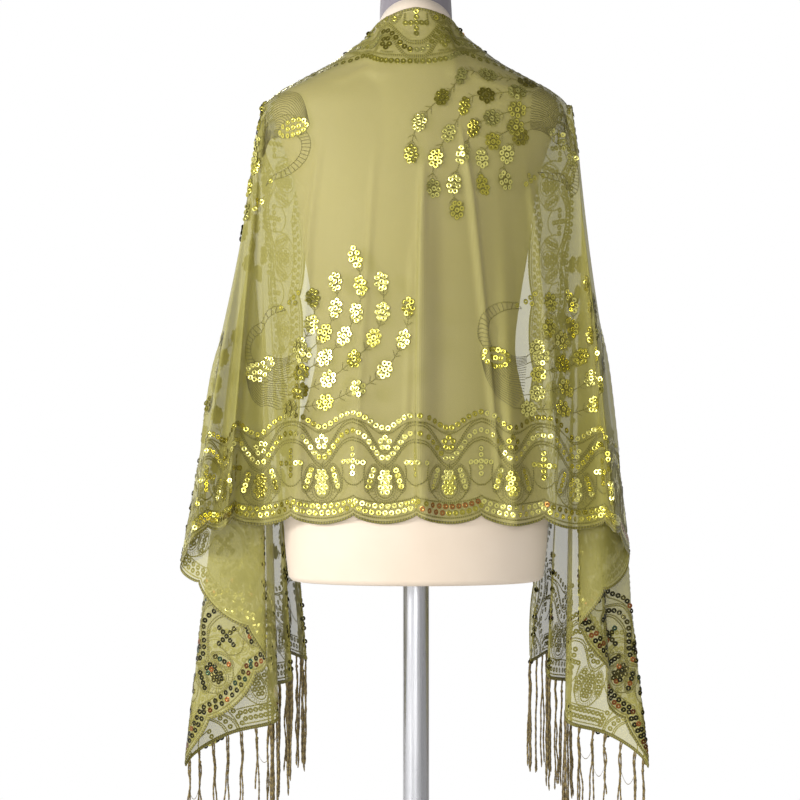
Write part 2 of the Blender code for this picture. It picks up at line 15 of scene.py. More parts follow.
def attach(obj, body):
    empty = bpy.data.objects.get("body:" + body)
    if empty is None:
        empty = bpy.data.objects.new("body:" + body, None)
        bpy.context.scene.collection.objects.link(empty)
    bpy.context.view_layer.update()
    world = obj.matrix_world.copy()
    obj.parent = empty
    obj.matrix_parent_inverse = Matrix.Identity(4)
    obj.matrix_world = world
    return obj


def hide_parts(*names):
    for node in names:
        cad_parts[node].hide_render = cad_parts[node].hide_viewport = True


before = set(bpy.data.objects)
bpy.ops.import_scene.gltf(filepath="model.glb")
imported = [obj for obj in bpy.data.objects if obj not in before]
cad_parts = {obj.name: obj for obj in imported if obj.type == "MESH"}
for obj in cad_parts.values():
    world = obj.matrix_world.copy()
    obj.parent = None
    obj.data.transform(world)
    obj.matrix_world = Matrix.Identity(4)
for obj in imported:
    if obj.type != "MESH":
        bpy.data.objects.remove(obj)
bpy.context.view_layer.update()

SCENE = bpy.context.scene
TURN = 2 * pi
MM = 0.001
STITCH_SEED, EDGE_SEED, HEADING_SEED, FRINGE_SEED = 5, 11, 12, 21
X, Y, Z = Vector((1, 0, 0)), Vector((0, 1, 0)), Vector((0, 0, 1))


# ---- shares, lines and rings
def ease(value, start, full):
    """0 before start, 1 after full, and smooth between them."""
    share = min(1.0, max(0.0, (value - start) / (full - start)))
    return share * share * (3 - 2 * share)


def mix(first, second, share):
    return first + (second - first) * share


def steps(count, start=0.0, end=1.0):
    """Evenly spaced values from start to end."""
    return [mix(start, end, index / count) for index in range(count + 1)]


def lengths(line):
    """How far along a line each of its points lies."""
    reached = [0.0]
    for before, after in zip(line, line[1:]):
        reached.append(reached[-1] + dist(before, after))
    return reached


def find_span(reached, wanted, index=0):
    """The span in which a length lies, looked for from index on, and its share of that span."""
    while index < len(reached) - 2 and reached[index + 1] < wanted:
        index += 1
    return index, (wanted - reached[index]) / (reached[index + 1] - reached[index] or 1.0)


def beside(line, index, offsets, closed=False):
    """Neighbours of a point in a line, which stops at its ends unless it is closed."""
    count = len(line)
    return [line[(index + offset) % count if closed else min(max(index + offset, 0), count - 1)]
            for offset in offsets]


def ring(count, centre, first, second, start=0.0):
    """Points round an oval whose half axes are first and second."""
    return [centre + first * cos(turn) + second * sin(turn) for turn in steps(count, start, start + TURN)[:-1]]


def radial(turn):
    return Vector((cos(turn), sin(turn), 0))


# ---- the cut and the drape, as in the solids
CLEAR = 0.0024  # from the form to the net
DEPTH_PASSES = 6  # by which a depth of the tilted form has settled
WIDTH = 0.65  # neck edge to hem
PITCH = 0.0925  # of the scallops
SCALLOP_DEPTH = 0.011
SCALLOP_SHARPNESS = 0.7
END_ALONG = 10 * PITCH  # middle of the back to an end
NECK_ALONG = PITCH  # where the neck edge crosses the shoulder line
TIP_ALONG = 2.5 * PITCH  # the shoulder tip, in the net's own sizes
TIP_ACROSS = 0.1

# The form, from its neck seam down. tilt is the forward lean of the section, in degrees.
FORM = [
    # height, half_width, front, back, tilt
    (1.459, 0.048, 0.05, 0.055, 29), (1.45, 0.054, 0.053, 0.058, 21), (1.441, 0.062, 0.055, 0.06, 14),
    (1.433, 0.072, 0.057, 0.063, 9), (1.423, 0.086, 0.06, 0.067, 5), (1.413, 0.101, 0.063, 0.071, 2),
    (1.403, 0.118, 0.066, 0.075, 0), (1.393, 0.137, 0.069, 0.079, 0), (1.383, 0.156, 0.072, 0.082, 0),
    (1.374, 0.172, 0.076, 0.085, 0), (1.364, 0.182, 0.08, 0.088, 0), (1.35, 0.186, 0.085, 0.091, 0),
    (1.33, 0.182, 0.093, 0.094, 0), (1.3, 0.171, 0.103, 0.098, 0), (1.26, 0.159, 0.113, 0.101, 0),
    (1.22, 0.152, 0.118, 0.1, 0), (1.17, 0.146, 0.116, 0.096, 0), (1.11, 0.136, 0.104, 0.088, 0),
    (1.04, 0.129, 0.09, 0.081, 0), (0.98, 0.14, 0.094, 0.093, 0), (0.92, 0.159, 0.102, 0.11, 0),
    (0.86, 0.17, 0.106, 0.119, 0), (0.8, 0.171, 0.105, 0.117, 0), (0.74, 0.165, 0.101, 0.112, 0),
]
SHOULDER_ROWS = 11  # of the form, from the neck seam to the shoulder tip
SHOULDER_LINE = [(row[1], row[0]) for row in FORM[:SHOULDER_ROWS]]

# Each side of the drape: sign of x, x where the neck edge crosses the shoulder line, and the shoulder tip.
SIDES = {
    "left": dict(sign=1, neck_x=0.0546, tip_x=0.199, tip_z=1.362),
    "right": dict(sign=-1, neck_x=0.05, tip_x=0.203, tip_z=1.357),
}
SHOULDER_END = 0.18  # x up to which the net lies on the form's shoulder line

# Middle of the back, from the neck edge down.
BACK_LINE = [
    # height, depth
    (1.48, 0.066), (1.44, 0.073), (1.4, 0.085), (1.35, 0.097), (1.3, 0.103), (1.24, 0.107), (0.86, 0.123),
    (0.8, 0.125),
]
TIP_LEAN = 5.7  # how far the back hangs behind the shoulder tip, in degrees
NECK_RISE = 0.019  # of the neck edge, at the nape
NAPE_BLEND = 0.06  # below the neck edge, where the back comes free of the neck
RIDGE_BLEND = 0.12  # below the shoulder line, where the back hangs free
SPREAD_BLEND = 0.25  # below the top, where the columns of the back are evenly spread
HEM_HEIGHT = 0.82  # middle of the back
LINE_SAMPLES = 90

# Vertical folds of the back: raised towards +Y. start and full are across the net.
BACK_FOLDS = [
    # along, drift, height, half_width, start, full
    (-0.185, -0.02, 0.012, 0.02, 0.2, 0.6), (-0.108, -0.035, 0.016, 0.014, 0.22, 0.62),
    (-0.016, 0.004, 0.014, 0.013, 0.14, 0.45), (0.072, 0.016, 0.01, 0.022, 0.26, 0.65),
    (0.158, 0.022, 0.013, 0.018, 0.2, 0.6),
]

# Which way the net hangs from the shoulder tip. angle is measured on the flat net, from straight down the
# back towards the end. outward and forward are the tilt from straight down.
HANG = {  # rows of angle, outward, forward
    "left": [
        (0, 0, -5.7), (3.5, 3.2, -5), (8.5, 4.2, -9.8), (13, 5.9, -5.6), (17.5, 8.4, -8.6), (22.5, 8.8, -3.6),
        (27, 9.9, 0.9), (32, 6.4, -1.6), (37, 1.8, -3.6), (41, -1.2, -3.4), (46, 2.6, -0.4), (51.2, 6.8, 2.4),
        (57.2, 3, 5.6), (63.2, -1.6, 5.2), (69.5, -0.2, 10.2), (76, -3, 5.4), (83, -2, 11.4), (90, -4.4, 6.4),
        (98.2, -3.4, 11.6), (105, -6.2, 13.8), (112, -10.2, 17.8),
    ],
    "right": [
        (0, 0, -5.7), (5, 4.2, -5), (11, 4.8, -10), (17.5, 6.2, -4.8), (24, 7, 0.8), (30.5, 3.6, -2.8),
        (36.5, 0, -1.8), (41.5, 3.4, -0.8), (46, 3.2, 3.2), (51.2, 6.8, 3.4), (57.5, 3.4, 6.2), (64, -0.6, 5.8),
        (71, 0.4, 11.2), (78, -2.4, 6.2), (85, -1.8, 12.4), (91.5, -4, 7.2), (98.2, -3.8, 12.4), (105, -7, 15.4),
        (112, -10.6, 18.8),
    ],
}
HANG_FRONT = [  # the same where the front hangs, on both sides
    (130, -20.5, 30.5), (155, -44, 39.5), (180, -69, 37.5), (208, -97, 24),
]
PLEATS_END = 112.0  # angle of the last pleat
PLEAT_START = 0.06  # from the shoulder tip, where the pleats begin
PLEAT_FULL = 0.36  # where they are at their full depth
PLEAT_SPAN = 13.0  # degrees each way that are averaged where there are no pleats
CREST_SPAN = 1.6  # the same where they are full, which rounds their crests
AVERAGE_STEPS = 8  # each way, where a table is averaged
HANG_STEP = 0.5  # degrees between two averaged values
TIP_OUT = 0.006  # the shoulder tip is round: how far the net beside it swells outward,
TIP_FRONT = 0.026  # and how far in front of it the front hangs
TIP_BLEND = 0.07  # from the shoulder tip, where that roundness is complete
TIP_ROOM = 0.008  # between the form's shoulder end and the net beside it
TIP_ROOM_TOP, TIP_ROOM_FULL = 1.376, 1.352  # heights between which that room opens
LINE_START = 130.0  # angle from which the net settles on the shoulder line
FRONT_DROP = 0.07  # share by which the net, pulled by its own weight, hangs longer in front,
DROP_START = (52.0, 68.0)  # angles between which that begins,
DROP_END = (104.0, 150.0)  # and between which it ends


def read_curve(rows, key, column):
    """Smooth value of one column of a table, at a value of its first column, which falls or rises."""
    if rows[0][0] > rows[-1][0]:
        rows = rows[::-1]
    if key <= rows[0][0]:
        return rows[0][column]
    if key >= rows[-1][0]:
        return rows[-1][column]
    index = 0
    while rows[index + 1][0] < key:
        index += 1
    low, high = rows[index], rows[index + 1]
    span = high[0] - low[0]
    step = (key - low[0]) / span

    def slope(at):
        first, second = beside(rows, at, (-1, 1))
        return (second[column] - first[column]) / (second[0] - first[0])

    square, cube = step * step, step * step * step
    return ((2 * cube - 3 * square + 1) * low[column] + (cube - 2 * square + step) * span * slope(index)
            + (3 * square - 2 * cube) * high[column] + (cube - square) * span * slope(index + 1))


def form_depth(across, height, column):
    """How far the form, grown by CLEAR, reaches to the front (column 2) or the back (3) of a place."""
    side = -1 if column == 2 else 1
    depth, level = 0.0, height
    for _ in range(DEPTH_PASSES):
        level = height - CLEAR - side * depth * tan(radians(read_curve(FORM, level, 4)))
        room = TIP_ROOM * (1 - ease(level, TIP_ROOM_FULL, TIP_ROOM_TOP))
        half = read_curve(FORM, level, 1) + CLEAR + room
        if abs(across) >= half or level > FORM[0][0]:
            return 0.0
        depth = (read_curve(FORM, level, column) + CLEAR) * sqrt(1 - (across / half) ** 2)
    return depth


def shoulder_height(side, x):
    """Height of the net on the shoulder line, at a distance from the middle."""
    if x <= SHOULDER_END:
        return read_curve(SHOULDER_LINE, x - CLEAR, 1) + CLEAR
    share = (x - SHOULDER_END) / (side["tip_x"] - SHOULDER_END)
    return mix(shoulder_height(side, SHOULDER_END), side["tip_z"], share)


def scallop(along):
    """How far the edge lies inside the cut, at a place along it."""
    wave = abs(sin(pi * along / PITCH))
    return SCALLOP_DEPTH * (1 - wave ** SCALLOP_SHARPNESS)


def shoulder_across(along):
    """Where the shoulder line lies across the net."""
    return mix(SCALLOP_DEPTH, TIP_ACROSS, (along - NECK_ALONG) / (TIP_ALONG - NECK_ALONG))


def back_fold(along, across):
    total = 0.0
    for place, drift, height, half_width, start, full in BACK_FOLDS:
        centre = place + drift * across / WIDTH
        total += height * ease(across, start, full) * exp(-((along - centre) / half_width) ** 2)
    return total


def back_line(along):
    """Closely spaced points of one line down the back, and the distance across the net where it starts."""
    side = SIDES["left" if along >= 0 else "right"]
    away = abs(along)
    by_neck = away < NECK_ALONG
    if by_neck:
        turn = pi / 2 * away / NECK_ALONG
        nape = sum(shoulder_height(one, one["neck_x"]) for one in SIDES.values()) / len(SIDES)
        foot = mix(nape, shoulder_height(side, side["neck_x"]), sin(turn) ** 2)
        start = Vector((side["sign"] * side["neck_x"] * sin(turn), BACK_LINE[0][1] * cos(turn),
                        foot + SCALLOP_DEPTH + NECK_RISE * cos(turn)))
        start_across = 0.0
    else:
        x = mix(side["neck_x"], side["tip_x"], (away - NECK_ALONG) / (TIP_ALONG - NECK_ALONG))
        start = Vector((side["sign"] * x, 0.0, shoulder_height(side, x)))
        start_across = shoulder_across(away)
    length = WIDTH + PITCH
    line = [start]
    for index in range(1, LINE_SAMPLES + 1):
        drop = length * (index / LINE_SAMPLES) ** 2
        height = start.z - drop
        x = mix(start.x, side["sign"] * side["tip_x"] * away / TIP_ALONG, ease(drop, 0.0, SPREAD_BLEND))
        lean = tan(radians(TIP_LEAN)) * max(0.0, side["tip_z"] - height)
        bow = cos(pi / 2 * min(1.0, abs(x) / side["tip_x"]))
        free = mix(lean, read_curve(BACK_LINE, height, 1), bow)
        depth = mix(start.y, free, ease(drop, 0.0, NAPE_BLEND if by_neck else RIDGE_BLEND))
        line.append(Vector((x, max(depth, form_depth(x, height, 3)), height)))
    return line, start_across


def back_points(along, acrosses):
    """Points of one line down the back. The net gives a little, so that its hem hangs level."""
    side = SIDES["left" if along >= 0 else "right"]
    line, start_across = back_line(along)
    reached = lengths(line)
    tip_hem = side["tip_z"] - (WIDTH - TIP_ACROSS) * cos(radians(TIP_LEAN))
    hem = mix(HEM_HEIGHT, tip_hem, (along / TIP_ALONG) ** 2)
    index, share = find_span([-point.z for point in line], -hem)
    give = mix(reached[index], reached[index + 1], share) / (WIDTH - start_across)
    points = []
    for across in acrosses:
        index, share = find_span(reached, (across - start_across) * give)
        points.append(line[index].lerp(line[index + 1], share) + Y * back_fold(along, across))
    return points


def hang_rows(name):
    """The hanging table, ended by the shoulder line itself."""
    side = SIDES[name]
    flat = 180.0 + degrees(atan2(TIP_ALONG - NECK_ALONG, TIP_ACROSS - SCALLOP_DEPTH))
    rise = shoulder_height(side, side["neck_x"]) - side["tip_z"]
    worn = 180.0 - degrees(atan2(side["tip_x"] - side["neck_x"], rise))
    return HANG[name] + HANG_FRONT + [(flat, -worn, 0.0)]


def averaged_hang(name, spread):
    """The hanging table at every HANG_STEP, averaged over spread degrees each way."""
    rows = hang_rows(name)
    last = rows[-1][0]
    count = 2 * AVERAGE_STEPS + 1
    made = []
    for step in range(int(last / HANG_STEP) + 2):
        angle = min(step * HANG_STEP, last)
        reach = min(spread, angle, last - angle)
        places = [angle + reach * (index / AVERAGE_STEPS - 1) for index in range(count)]
        made.append([sum(read_curve(rows, place, column) for place in places) / count for column in (1, 2)])
    return made


class Side:
    """One side stretch of the drape: a cone of pleats that hangs from the shoulder tip."""

    def __init__(self, name):
        self.side = SIDES[name]
        self.last = hang_rows(name)[-1][0]
        self.sharp, self.soft = averaged_hang(name, CREST_SPAN), averaged_hang(name, PLEAT_SPAN)

    def tilt(self, angle, full):
        """outward and forward, at an angle of the flat net, for pleats at a share of their depth."""
        step = int(angle / HANG_STEP)
        share = angle / HANG_STEP - step
        return [mix(*(mix(table[step][column], table[step + 1][column], share)
                      for table in (self.soft, self.sharp)), full) for column in (0, 1)]

    def point(self, along, across):
        side, last = self.side, self.last
        tip_x, tip_z = side["tip_x"], side["tip_z"]
        neck_x, neck_z = side["neck_x"], shoulder_height(side, side["neck_x"])
        out, down = along - TIP_ALONG, across - TIP_ACROSS
        radius = hypot(out, down)
        angle = degrees(atan2(out, down)) % 360
        if angle > (last + 360) / 2:
            angle = 0.0
        angle = min(angle, last)
        outward, forward = self.tilt(angle, ease(radius, PLEAT_START, PLEAT_FULL))
        tilt = radians(hypot(outward, forward))
        bearing = atan2(forward, outward)
        # towards the shoulder line the net takes its length and its sag
        on_line = ease(angle, LINE_START, last)
        flat_line = hypot(TIP_ALONG - NECK_ALONG, TIP_ACROSS - SCALLOP_DEPTH)
        worn_line = hypot(tip_x - neck_x, neck_z - tip_z)
        radius *= mix(1.0, worn_line / flat_line, on_line)
        radius *= 1 + FRONT_DROP * ease(angle, *DROP_START) * (1 - ease(angle, *DROP_END))
        round_tip = ease(radius, 0.0, TIP_BLEND)
        turn = min(angle, PLEATS_END) / PLEATS_END
        swell = round_tip * TIP_OUT * sin(pi * turn)
        front = round_tip * TIP_FRONT * sin(pi / 2 * turn) * (1 - on_line)
        x = tip_x + radius * sin(tilt) * cos(bearing) + swell
        y = -radius * sin(tilt) * sin(bearing) - front
        z = tip_z - radius * cos(tilt)
        if neck_x < x < tip_x:
            straight = mix(neck_z, tip_z, (x - neck_x) / (tip_x - neck_x))
            z -= on_line * (straight - shoulder_height(side, x))
        if y < 0 or on_line > 0:
            y = min(y, -form_depth(x, z, 2))
        return Vector((side["sign"] * x, y, z))


# ---- the net as a grid
COLUMNS_PER_SCALLOP = 28
ROWS = 130

# At the nape the neck edge is turned in, so that it runs smooth there.
TURNED_IN = (0.0125, 0.0185)  # in the middle, and by the sides of the neck
TURNED_SIDE = 0.06  # along the net, where the second of these is reached
TURNED_END = (0.0925, 0.13)  # along the net, where the turn fades out

# Creases of the net that its solids leave out: ridges that stand out of the cloth.
CREASES = [
    # from (along, across), to (along, across), height, half_width
    ((-0.01, 0.19), (-0.005, 0.648), 0.0105, 0.0042), ((0.004, 0.3), (0.016, 0.56), 0.0028, 0.0055),
    ((-0.066, 0.15), (-0.125, 0.64), 0.0065, 0.0045), ((0.06, 0.18), (0.094, 0.64), 0.0028, 0.005),
    ((0.15, 0.16), (0.176, 0.6), 0.0038, 0.0055), ((-0.165, 0.19), (-0.205, 0.6), 0.0035, 0.005),
    ((0.02, 0.09), (0.15, 0.115), 0.0022, 0.006), ((-0.04, 0.095), (-0.19, 0.135), 0.0024, 0.0055),
    ((0.33, 0.2), (0.43, 0.56), 0.004, 0.0055), ((-0.32, 0.21), (-0.4, 0.58), 0.004, 0.0055),
    ((0.42, 0.13), (0.64, 0.33), 0.0036, 0.006), ((-0.43, 0.12), (-0.61, 0.3), 0.0036, 0.006),
    ((0.56, 0.42), (0.78, 0.56), 0.0034, 0.0055), ((-0.54, 0.4), (-0.8, 0.52), 0.0034, 0.0055),
]
CREASE_FADE = 0.2  # share of a crease at each end in which it dies away
CRUMPLE = 0.0016  # of the gathered net at the nape
CRUMPLE_ALONG, CRUMPLE_ACROSS = (0.08, 0.17), (0.04, 0.085)  # between which it fades out
CRUMPLE_SCALE = (30, 110)

# Beside the neck the columns of the net change from its round to the shoulder line, and are evened out.
SETTLE_PASSES = 30
SETTLE_SPAN = 0.045  # along the net, each way
SETTLE_START, SETTLE_END = 0.12, 0.26  # across the net, where that fades out


def neck_edge(along):
    """Where the net's neck edge shows, across the net."""
    away = abs(along)
    turned = mix(*TURNED_IN, min(1.0, away / TURNED_SIDE)) * (1 - ease(away, *TURNED_END))
    return max(scallop(along), turned)


def crease(along, across):
    """How far the creases raise the net at a place."""
    total = 0.0
    for (from_along, from_across), (to_along, to_across), height, half_width in CREASES:
        run, drop = to_along - from_along, to_across - from_across
        length = hypot(run, drop)
        share = ((along - from_along) * run + (across - from_across) * drop) / length ** 2
        if 0.0 < share < 1.0:
            aside = ((along - from_along) * drop - (across - from_across) * run) / length
            if abs(aside) < 4 * half_width:
                fade = ease(share, 0.0, CREASE_FADE) * (1 - ease(share, 1 - CREASE_FADE, 1.0))
                total += height * fade * exp(-(aside / half_width) ** 2)
    gathered = (1 - ease(abs(along), *CRUMPLE_ALONG)) * (1 - ease(across, *CRUMPLE_ACROSS))
    if gathered > 0:
        place = Vector((along * CRUMPLE_SCALE[0], across * CRUMPLE_SCALE[1], 0.0))
        total += CRUMPLE * gathered * (1 + noise.noise(place))
    return total


class Net:
    """The draped net: a grid of points, and a way to find any place of the flat net on it."""

    def __init__(self):
        self.half = COLUMNS_PER_SCALLOP * round(END_ALONG / PITCH)
        self.step = END_ALONG / self.half
        sides = {name: Side(name) for name in SIDES}
        self.columns = []
        for column in range(-self.half, self.half + 1):
            along = column * self.step
            name, away = "left" if along >= 0 else "right", abs(along)
            line = [self.across_of(along, row / ROWS) for row in range(ROWS + 1)]
            front = 0
            if away > TIP_ALONG - 1e-9:
                front = ROWS + 1
            elif away > NECK_ALONG:
                front = sum(1 for across in line if across < shoulder_across(away))
            points = [sides[name].point(away, across) for across in line[:front]]
            if front <= ROWS:
                points += back_points(along, line[front:])
            self.columns.append(points)
        for _ in range(SETTLE_PASSES):
            self.settle_neck()
        self.raise_creases()

    def across_of(self, along, share):
        return mix(neck_edge(along), WIDTH - scallop(along), share)

    def share_of(self, along, across):
        return (across - neck_edge(along)) / (WIDTH - scallop(along) - neck_edge(along))

    def settle_neck(self):
        settled = {}
        for column in range(1, 2 * self.half):
            along = (column - self.half) * self.step
            near = 1 - abs(abs(along) - NECK_ALONG) / SETTLE_SPAN
            if near <= 0:
                continue
            before, after = self.columns[column - 1], self.columns[column + 1]
            line = list(self.columns[column])
            for row in range(ROWS):
                share = near * (1 - ease(self.across_of(along, row / ROWS), SETTLE_START, SETTLE_END))
                if share <= 0:
                    break
                point = line[row].lerp((before[row] + after[row]) / 2, share)
                if point.y > 0:
                    point.y = max(point.y, form_depth(point.x, point.z, 3))
                else:
                    point.y = min(point.y, -form_depth(point.x, point.z, 2))
                line[row] = point
            settled[column] = line
        for column, line in settled.items():
            self.columns[column] = line

    def raise_creases(self):
        raised = []
        for column, points in enumerate(self.columns):
            along = (column - self.half) * self.step
            before, after = beside(self.columns, column, (-1, 1))
            line = []
            for row, point in enumerate(points):
                height = crease(along, self.across_of(along, row / ROWS))
                if height > 0:
                    upper, lower = beside(points, row, (-1, 1))
                    point = point + (after[row] - before[row]).cross(lower - upper).normalized() * height
                line.append(point)
            raised.append(line)
        self.columns = raised

    def place(self, along, across):
        """Point on the net, the way it faces, and the way it runs along."""
        at = min(max(along / self.step + self.half, 0.0), 2 * self.half - 1e-6)
        down = min(max(self.share_of(along, across) * ROWS, 0.0), ROWS - 1e-6)
        column, row = int(at), int(down)
        here, there = self.columns[column], self.columns[column + 1]
        share, drop = at - column, down - row
        top = here[row].lerp(there[row], share)
        low = here[row + 1].lerp(there[row + 1], share)
        run = there[row].lerp(there[row + 1], drop) - here[row].lerp(here[row + 1], drop)
        facing = run.cross(low - top)
        return top.lerp(low, drop), facing.normalized(), run.normalized()


# ---- materials
class Nodes:
    """Short ways to add nodes to a tree."""

    def __init__(self, tree):
        self.tree = tree

    def join(self, value, socket):
        """Gives a socket a plain value, or links a node's output to it."""
        if isinstance(value, bpy.types.NodeSocket):
            self.tree.links.new(value, socket)
        else:
            socket.default_value = value

    def node(self, kind, output=0, properties=None, **inputs):
        """Adds a node and returns its output. An input is its socket's name, or i and its number."""
        made = self.tree.nodes.new("ShaderNode" + kind)
        for name, value in (properties or {}).items():
            setattr(made, name, value)
        for name, value in inputs.items():
            self.join(value, made.inputs[int(name[1:]) if name[1:].isdigit() else name])
        return made.outputs[output]

    def spread(self, value, low, high, to_low=0.0, to_high=1.0):
        return self.node("MapRange", i0=value, i1=low, i2=high, i3=to_low, i4=to_high)

    def math(self, operation, first, second):
        return self.node("Math", 0, {"operation": operation}, i0=first, i1=second)


class Shader(Nodes):
    """A material with one Principled shader."""

    def __init__(self, name, roughness, metallic=0.0, **constants):
        self.material = bpy.data.materials.new(name)
        self.material.use_nodes = True
        super().__init__(self.material.node_tree)
        self.set(Roughness=roughness, Metallic=metallic, **constants)

    def set(self, **values):
        for socket, value in values.items():
            self.join(value, self.tree.nodes["Principled BSDF"].inputs[socket.replace("_", " ")])

    def noise(self, scale, detail=3.0, where=None):
        where = where or self.node("TexCoord", "Object")
        return self.node("TexNoise", "Fac", Vector=where, Scale=scale, Detail=detail)

    def tint(self):
        """The colours stored on the mesh's points: their own colours, and on the cords, sequins, edgings and
        fringe also painted shade and highlights.
        """
        return self.node("VertexColor", 0, {"layer_name": "tint"})

    def blend(self, factor, first, second):
        """Colour between two colours."""
        return self.node("Mix", 2, {"data_type": "RGBA"}, i0=factor, i6=first, i7=second)

    def finish(self, colours, rough, bumps):
        """Colour, roughness and bumps, each as a value and its range."""
        height, strength, distance = bumps
        self.set(Base_Color=self.blend(*colours), Roughness=self.spread(*rough),
                 Normal=self.node("Bump", Height=height, Strength=strength, Distance=distance))
        return self.material


def colour(*values):
    """Linear colour from sRGB values of 0 to 255."""
    shares = [value / 255 for value in values]
    return (*(share / 12.92 if share <= 0.04045 else ((share + 0.055) / 1.055) ** 2.4 for share in shares), 1.0)


NET_ALPHA = 0.66
MESH_PITCH = 0.0012  # of the net's own holes


def net_material():
    made = Shader("olive_net", 0.55, Alpha=NET_ALPHA, Sheen_Weight=0.15, Sheen_Roughness=0.4)
    cut = made.node("UVMap", 0, {"uv_map": "cut"})  # the place on the flat net, in metres
    cells = made.node("TexVoronoi", 0, {"feature": "DISTANCE_TO_EDGE"}, Vector=cut, Scale=1 / MESH_PITCH,
                      Randomness=0.25)
    thread, cloudy = made.spread(cells, 0.05, 0.22, 1.0, 0.0), made.noise(9.0, where=cut)
    ground = made.blend(cloudy, colour(168, 160, 76), colour(182, 174, 92))
    return made.finish((thread, ground, colour(150, 143, 60)), (cloudy, 0.2, 0.8, 0.48, 0.62),
                       (thread, 0.35, 0.0003))


def stitched_material(name, dark):
    """Thread, darker in patches and between its fibres."""
    made = Shader(name, 0.5, Sheen_Weight=0.25, Sheen_Roughness=0.35)
    patchy, fibres = made.noise(160.0), made.noise(1400.0, 1.0)
    return made.finish((made.spread(patchy, 0.35, 0.8, 0.0, 0.5), made.tint(), dark),
                       (fibres, 0.3, 0.7, 0.4, 0.65), (fibres, 0.5, 0.0004))


def sequin_material():
    """Foil, with fine scuffs."""
    made = Shader("gold_sequin", 0.2, 0.82)
    scuffs = made.noise(900.0, 2.0)
    return made.finish((made.spread(scuffs, 0.55, 0.8, 0.0, 0.25), made.tint(), colour(214, 204, 120)),
                       (scuffs, 0.3, 0.75, 0.13, 0.24), (scuffs, 0.08, 0.0002))


def cover_material():
    """Jersey cover of the form, ivory with a hint of pink."""
    made = Shader("form_cover", 0.85, Sheen_Weight=0.2, Sheen_Roughness=0.5)
    ribs = made.node("TexWave", "Fac", {"bands_direction": "X"}, Vector=made.node("TexCoord", "Object"),
                     Scale=260.0, Distortion=0.6, Detail=1.0)
    loops, aged = made.noise(1100.0, 1.0), made.noise(5.0, 4.0)
    knit = made.math("ADD", made.math("MULTIPLY", ribs, 0.4), loops)
    return made.finish((made.spread(aged, 0.35, 0.7), colour(232, 216, 196), colour(222, 203, 180)),
                       (loops, 0.3, 0.7, 0.78, 0.92), (knit, 0.35, 0.0004))


def band_material():
    made = Shader("neck_band", 0.75, Sheen_Weight=0.25, Sheen_Roughness=0.45)
    weave, cloudy = made.noise(900.0, 2.0), made.noise(22.0)
    return made.finish((cloudy, colour(138, 131, 136), colour(121, 115, 123)),
                       (weave, 0.3, 0.7, 0.66, 0.84), (weave, 0.4, 0.0004))


def metal_material():
    made = Shader("pole_metal", 0.3, 1.0)
    brushing = made.noise(1.0, where=made.node("Mapping", Vector=made.node("TexCoord", "Object"),
                                               Scale=(300.0, 300.0, 6.0)))
    return made.finish((brushing, colour(190, 190, 194), colour(208, 208, 210)),
                       (brushing, 0.3, 0.7, 0.22, 0.38), (brushing, 0.15, 0.0002))


def paint_material():
    made = Shader("base_paint", 0.35, Coat_Weight=0.3, Coat_Roughness=0.2)
    peel, dust = made.noise(380.0, 2.0), made.noise(7.0, 5.0)
    return made.finish((made.spread(dust, 0.45, 0.75), colour(232, 230, 226), colour(214, 210, 202)),
                       (dust, 0.3, 0.7, 0.3, 0.45), (peel, 0.12, 0.0003))


def floor_material():
    made = Shader("pale_floor", 0.8)
    made.set(Base_Color=made.blend(made.noise(0.6), (0.84, 0.84, 0.84, 1.0), (0.87, 0.87, 0.87, 1.0)))
    return made.material


# ---- making meshes
def add_object(name, data):
    made = bpy.data.objects.new(name, data)
    SCENE.collection.objects.link(made)
    return made


class Batch:
    """Points, faces and colours of many small things that become one mesh."""

    def __init__(self):
        self.points, self.faces, self.tints = [], [], []

    def add(self, points, tint=None):
        self.points += points
        if tint:
            self.tints += [tint] * len(points)

    def rows(self, rows, tints):
        """Adds rows of points, coloured in turn, and returns where each of them starts."""
        starts = []
        for index, row in enumerate(rows):
            starts.append(len(self.points))
            self.add(row, tints[index % len(tints)] if tints else None)
        return starts

    def strip(self, rows, tints=None, closed=False):
        """A surface through rows of equal count, such as the sections of a cord."""
        starts = self.rows(rows, tints)
        for here, there in zip(starts, starts[1:] + starts[:1] * closed):
            for side in range(len(rows[0]) - 1):
                self.faces.append((here + side, there + side, there + side + 1, here + side + 1))

    def tube(self, rings, tints=None, ends=True, order=1):
        """A skin round rings of equal count, with its ends filled. An order of -1 turns its faces over."""
        starts, count = self.rows(rings, tints), len(rings[0])
        for here, there in zip(starts, starts[1:]):
            for side in range(count):
                following = (side + 1) % count
                self.faces.append((here + side, here + following, there + following, there + side)[::order])
        if ends:
            self.faces.append(tuple(reversed(range(starts[0], starts[0] + count))))
            self.faces.append(tuple(range(starts[-1], starts[-1] + count)))

    def mesh(self, name, material):
        mesh = bpy.data.meshes.new(name)
        mesh.from_pydata([tuple(point) for point in self.points], [], self.faces)
        mesh.materials.append(material)
        return mesh

    def piece(self, name, material, slot, *replaced):
        mesh = self.mesh(name, material)
        mesh.shade_smooth()
        if self.tints:
            tint = mesh.color_attributes.new("tint", "FLOAT_COLOR", "POINT")
            tint.data.foreach_set("color", [value for one in self.tints for value in one])
        made = add_object(name, mesh)
        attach(made, "root")
        if replaced:
            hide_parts(*replaced)
        return made


def stretch_of(along):
    """The stretch that a place along the net belongs to."""
    if abs(along) <= TIP_ALONG:
        return "back"
    return "left" if along > 0 else "right"


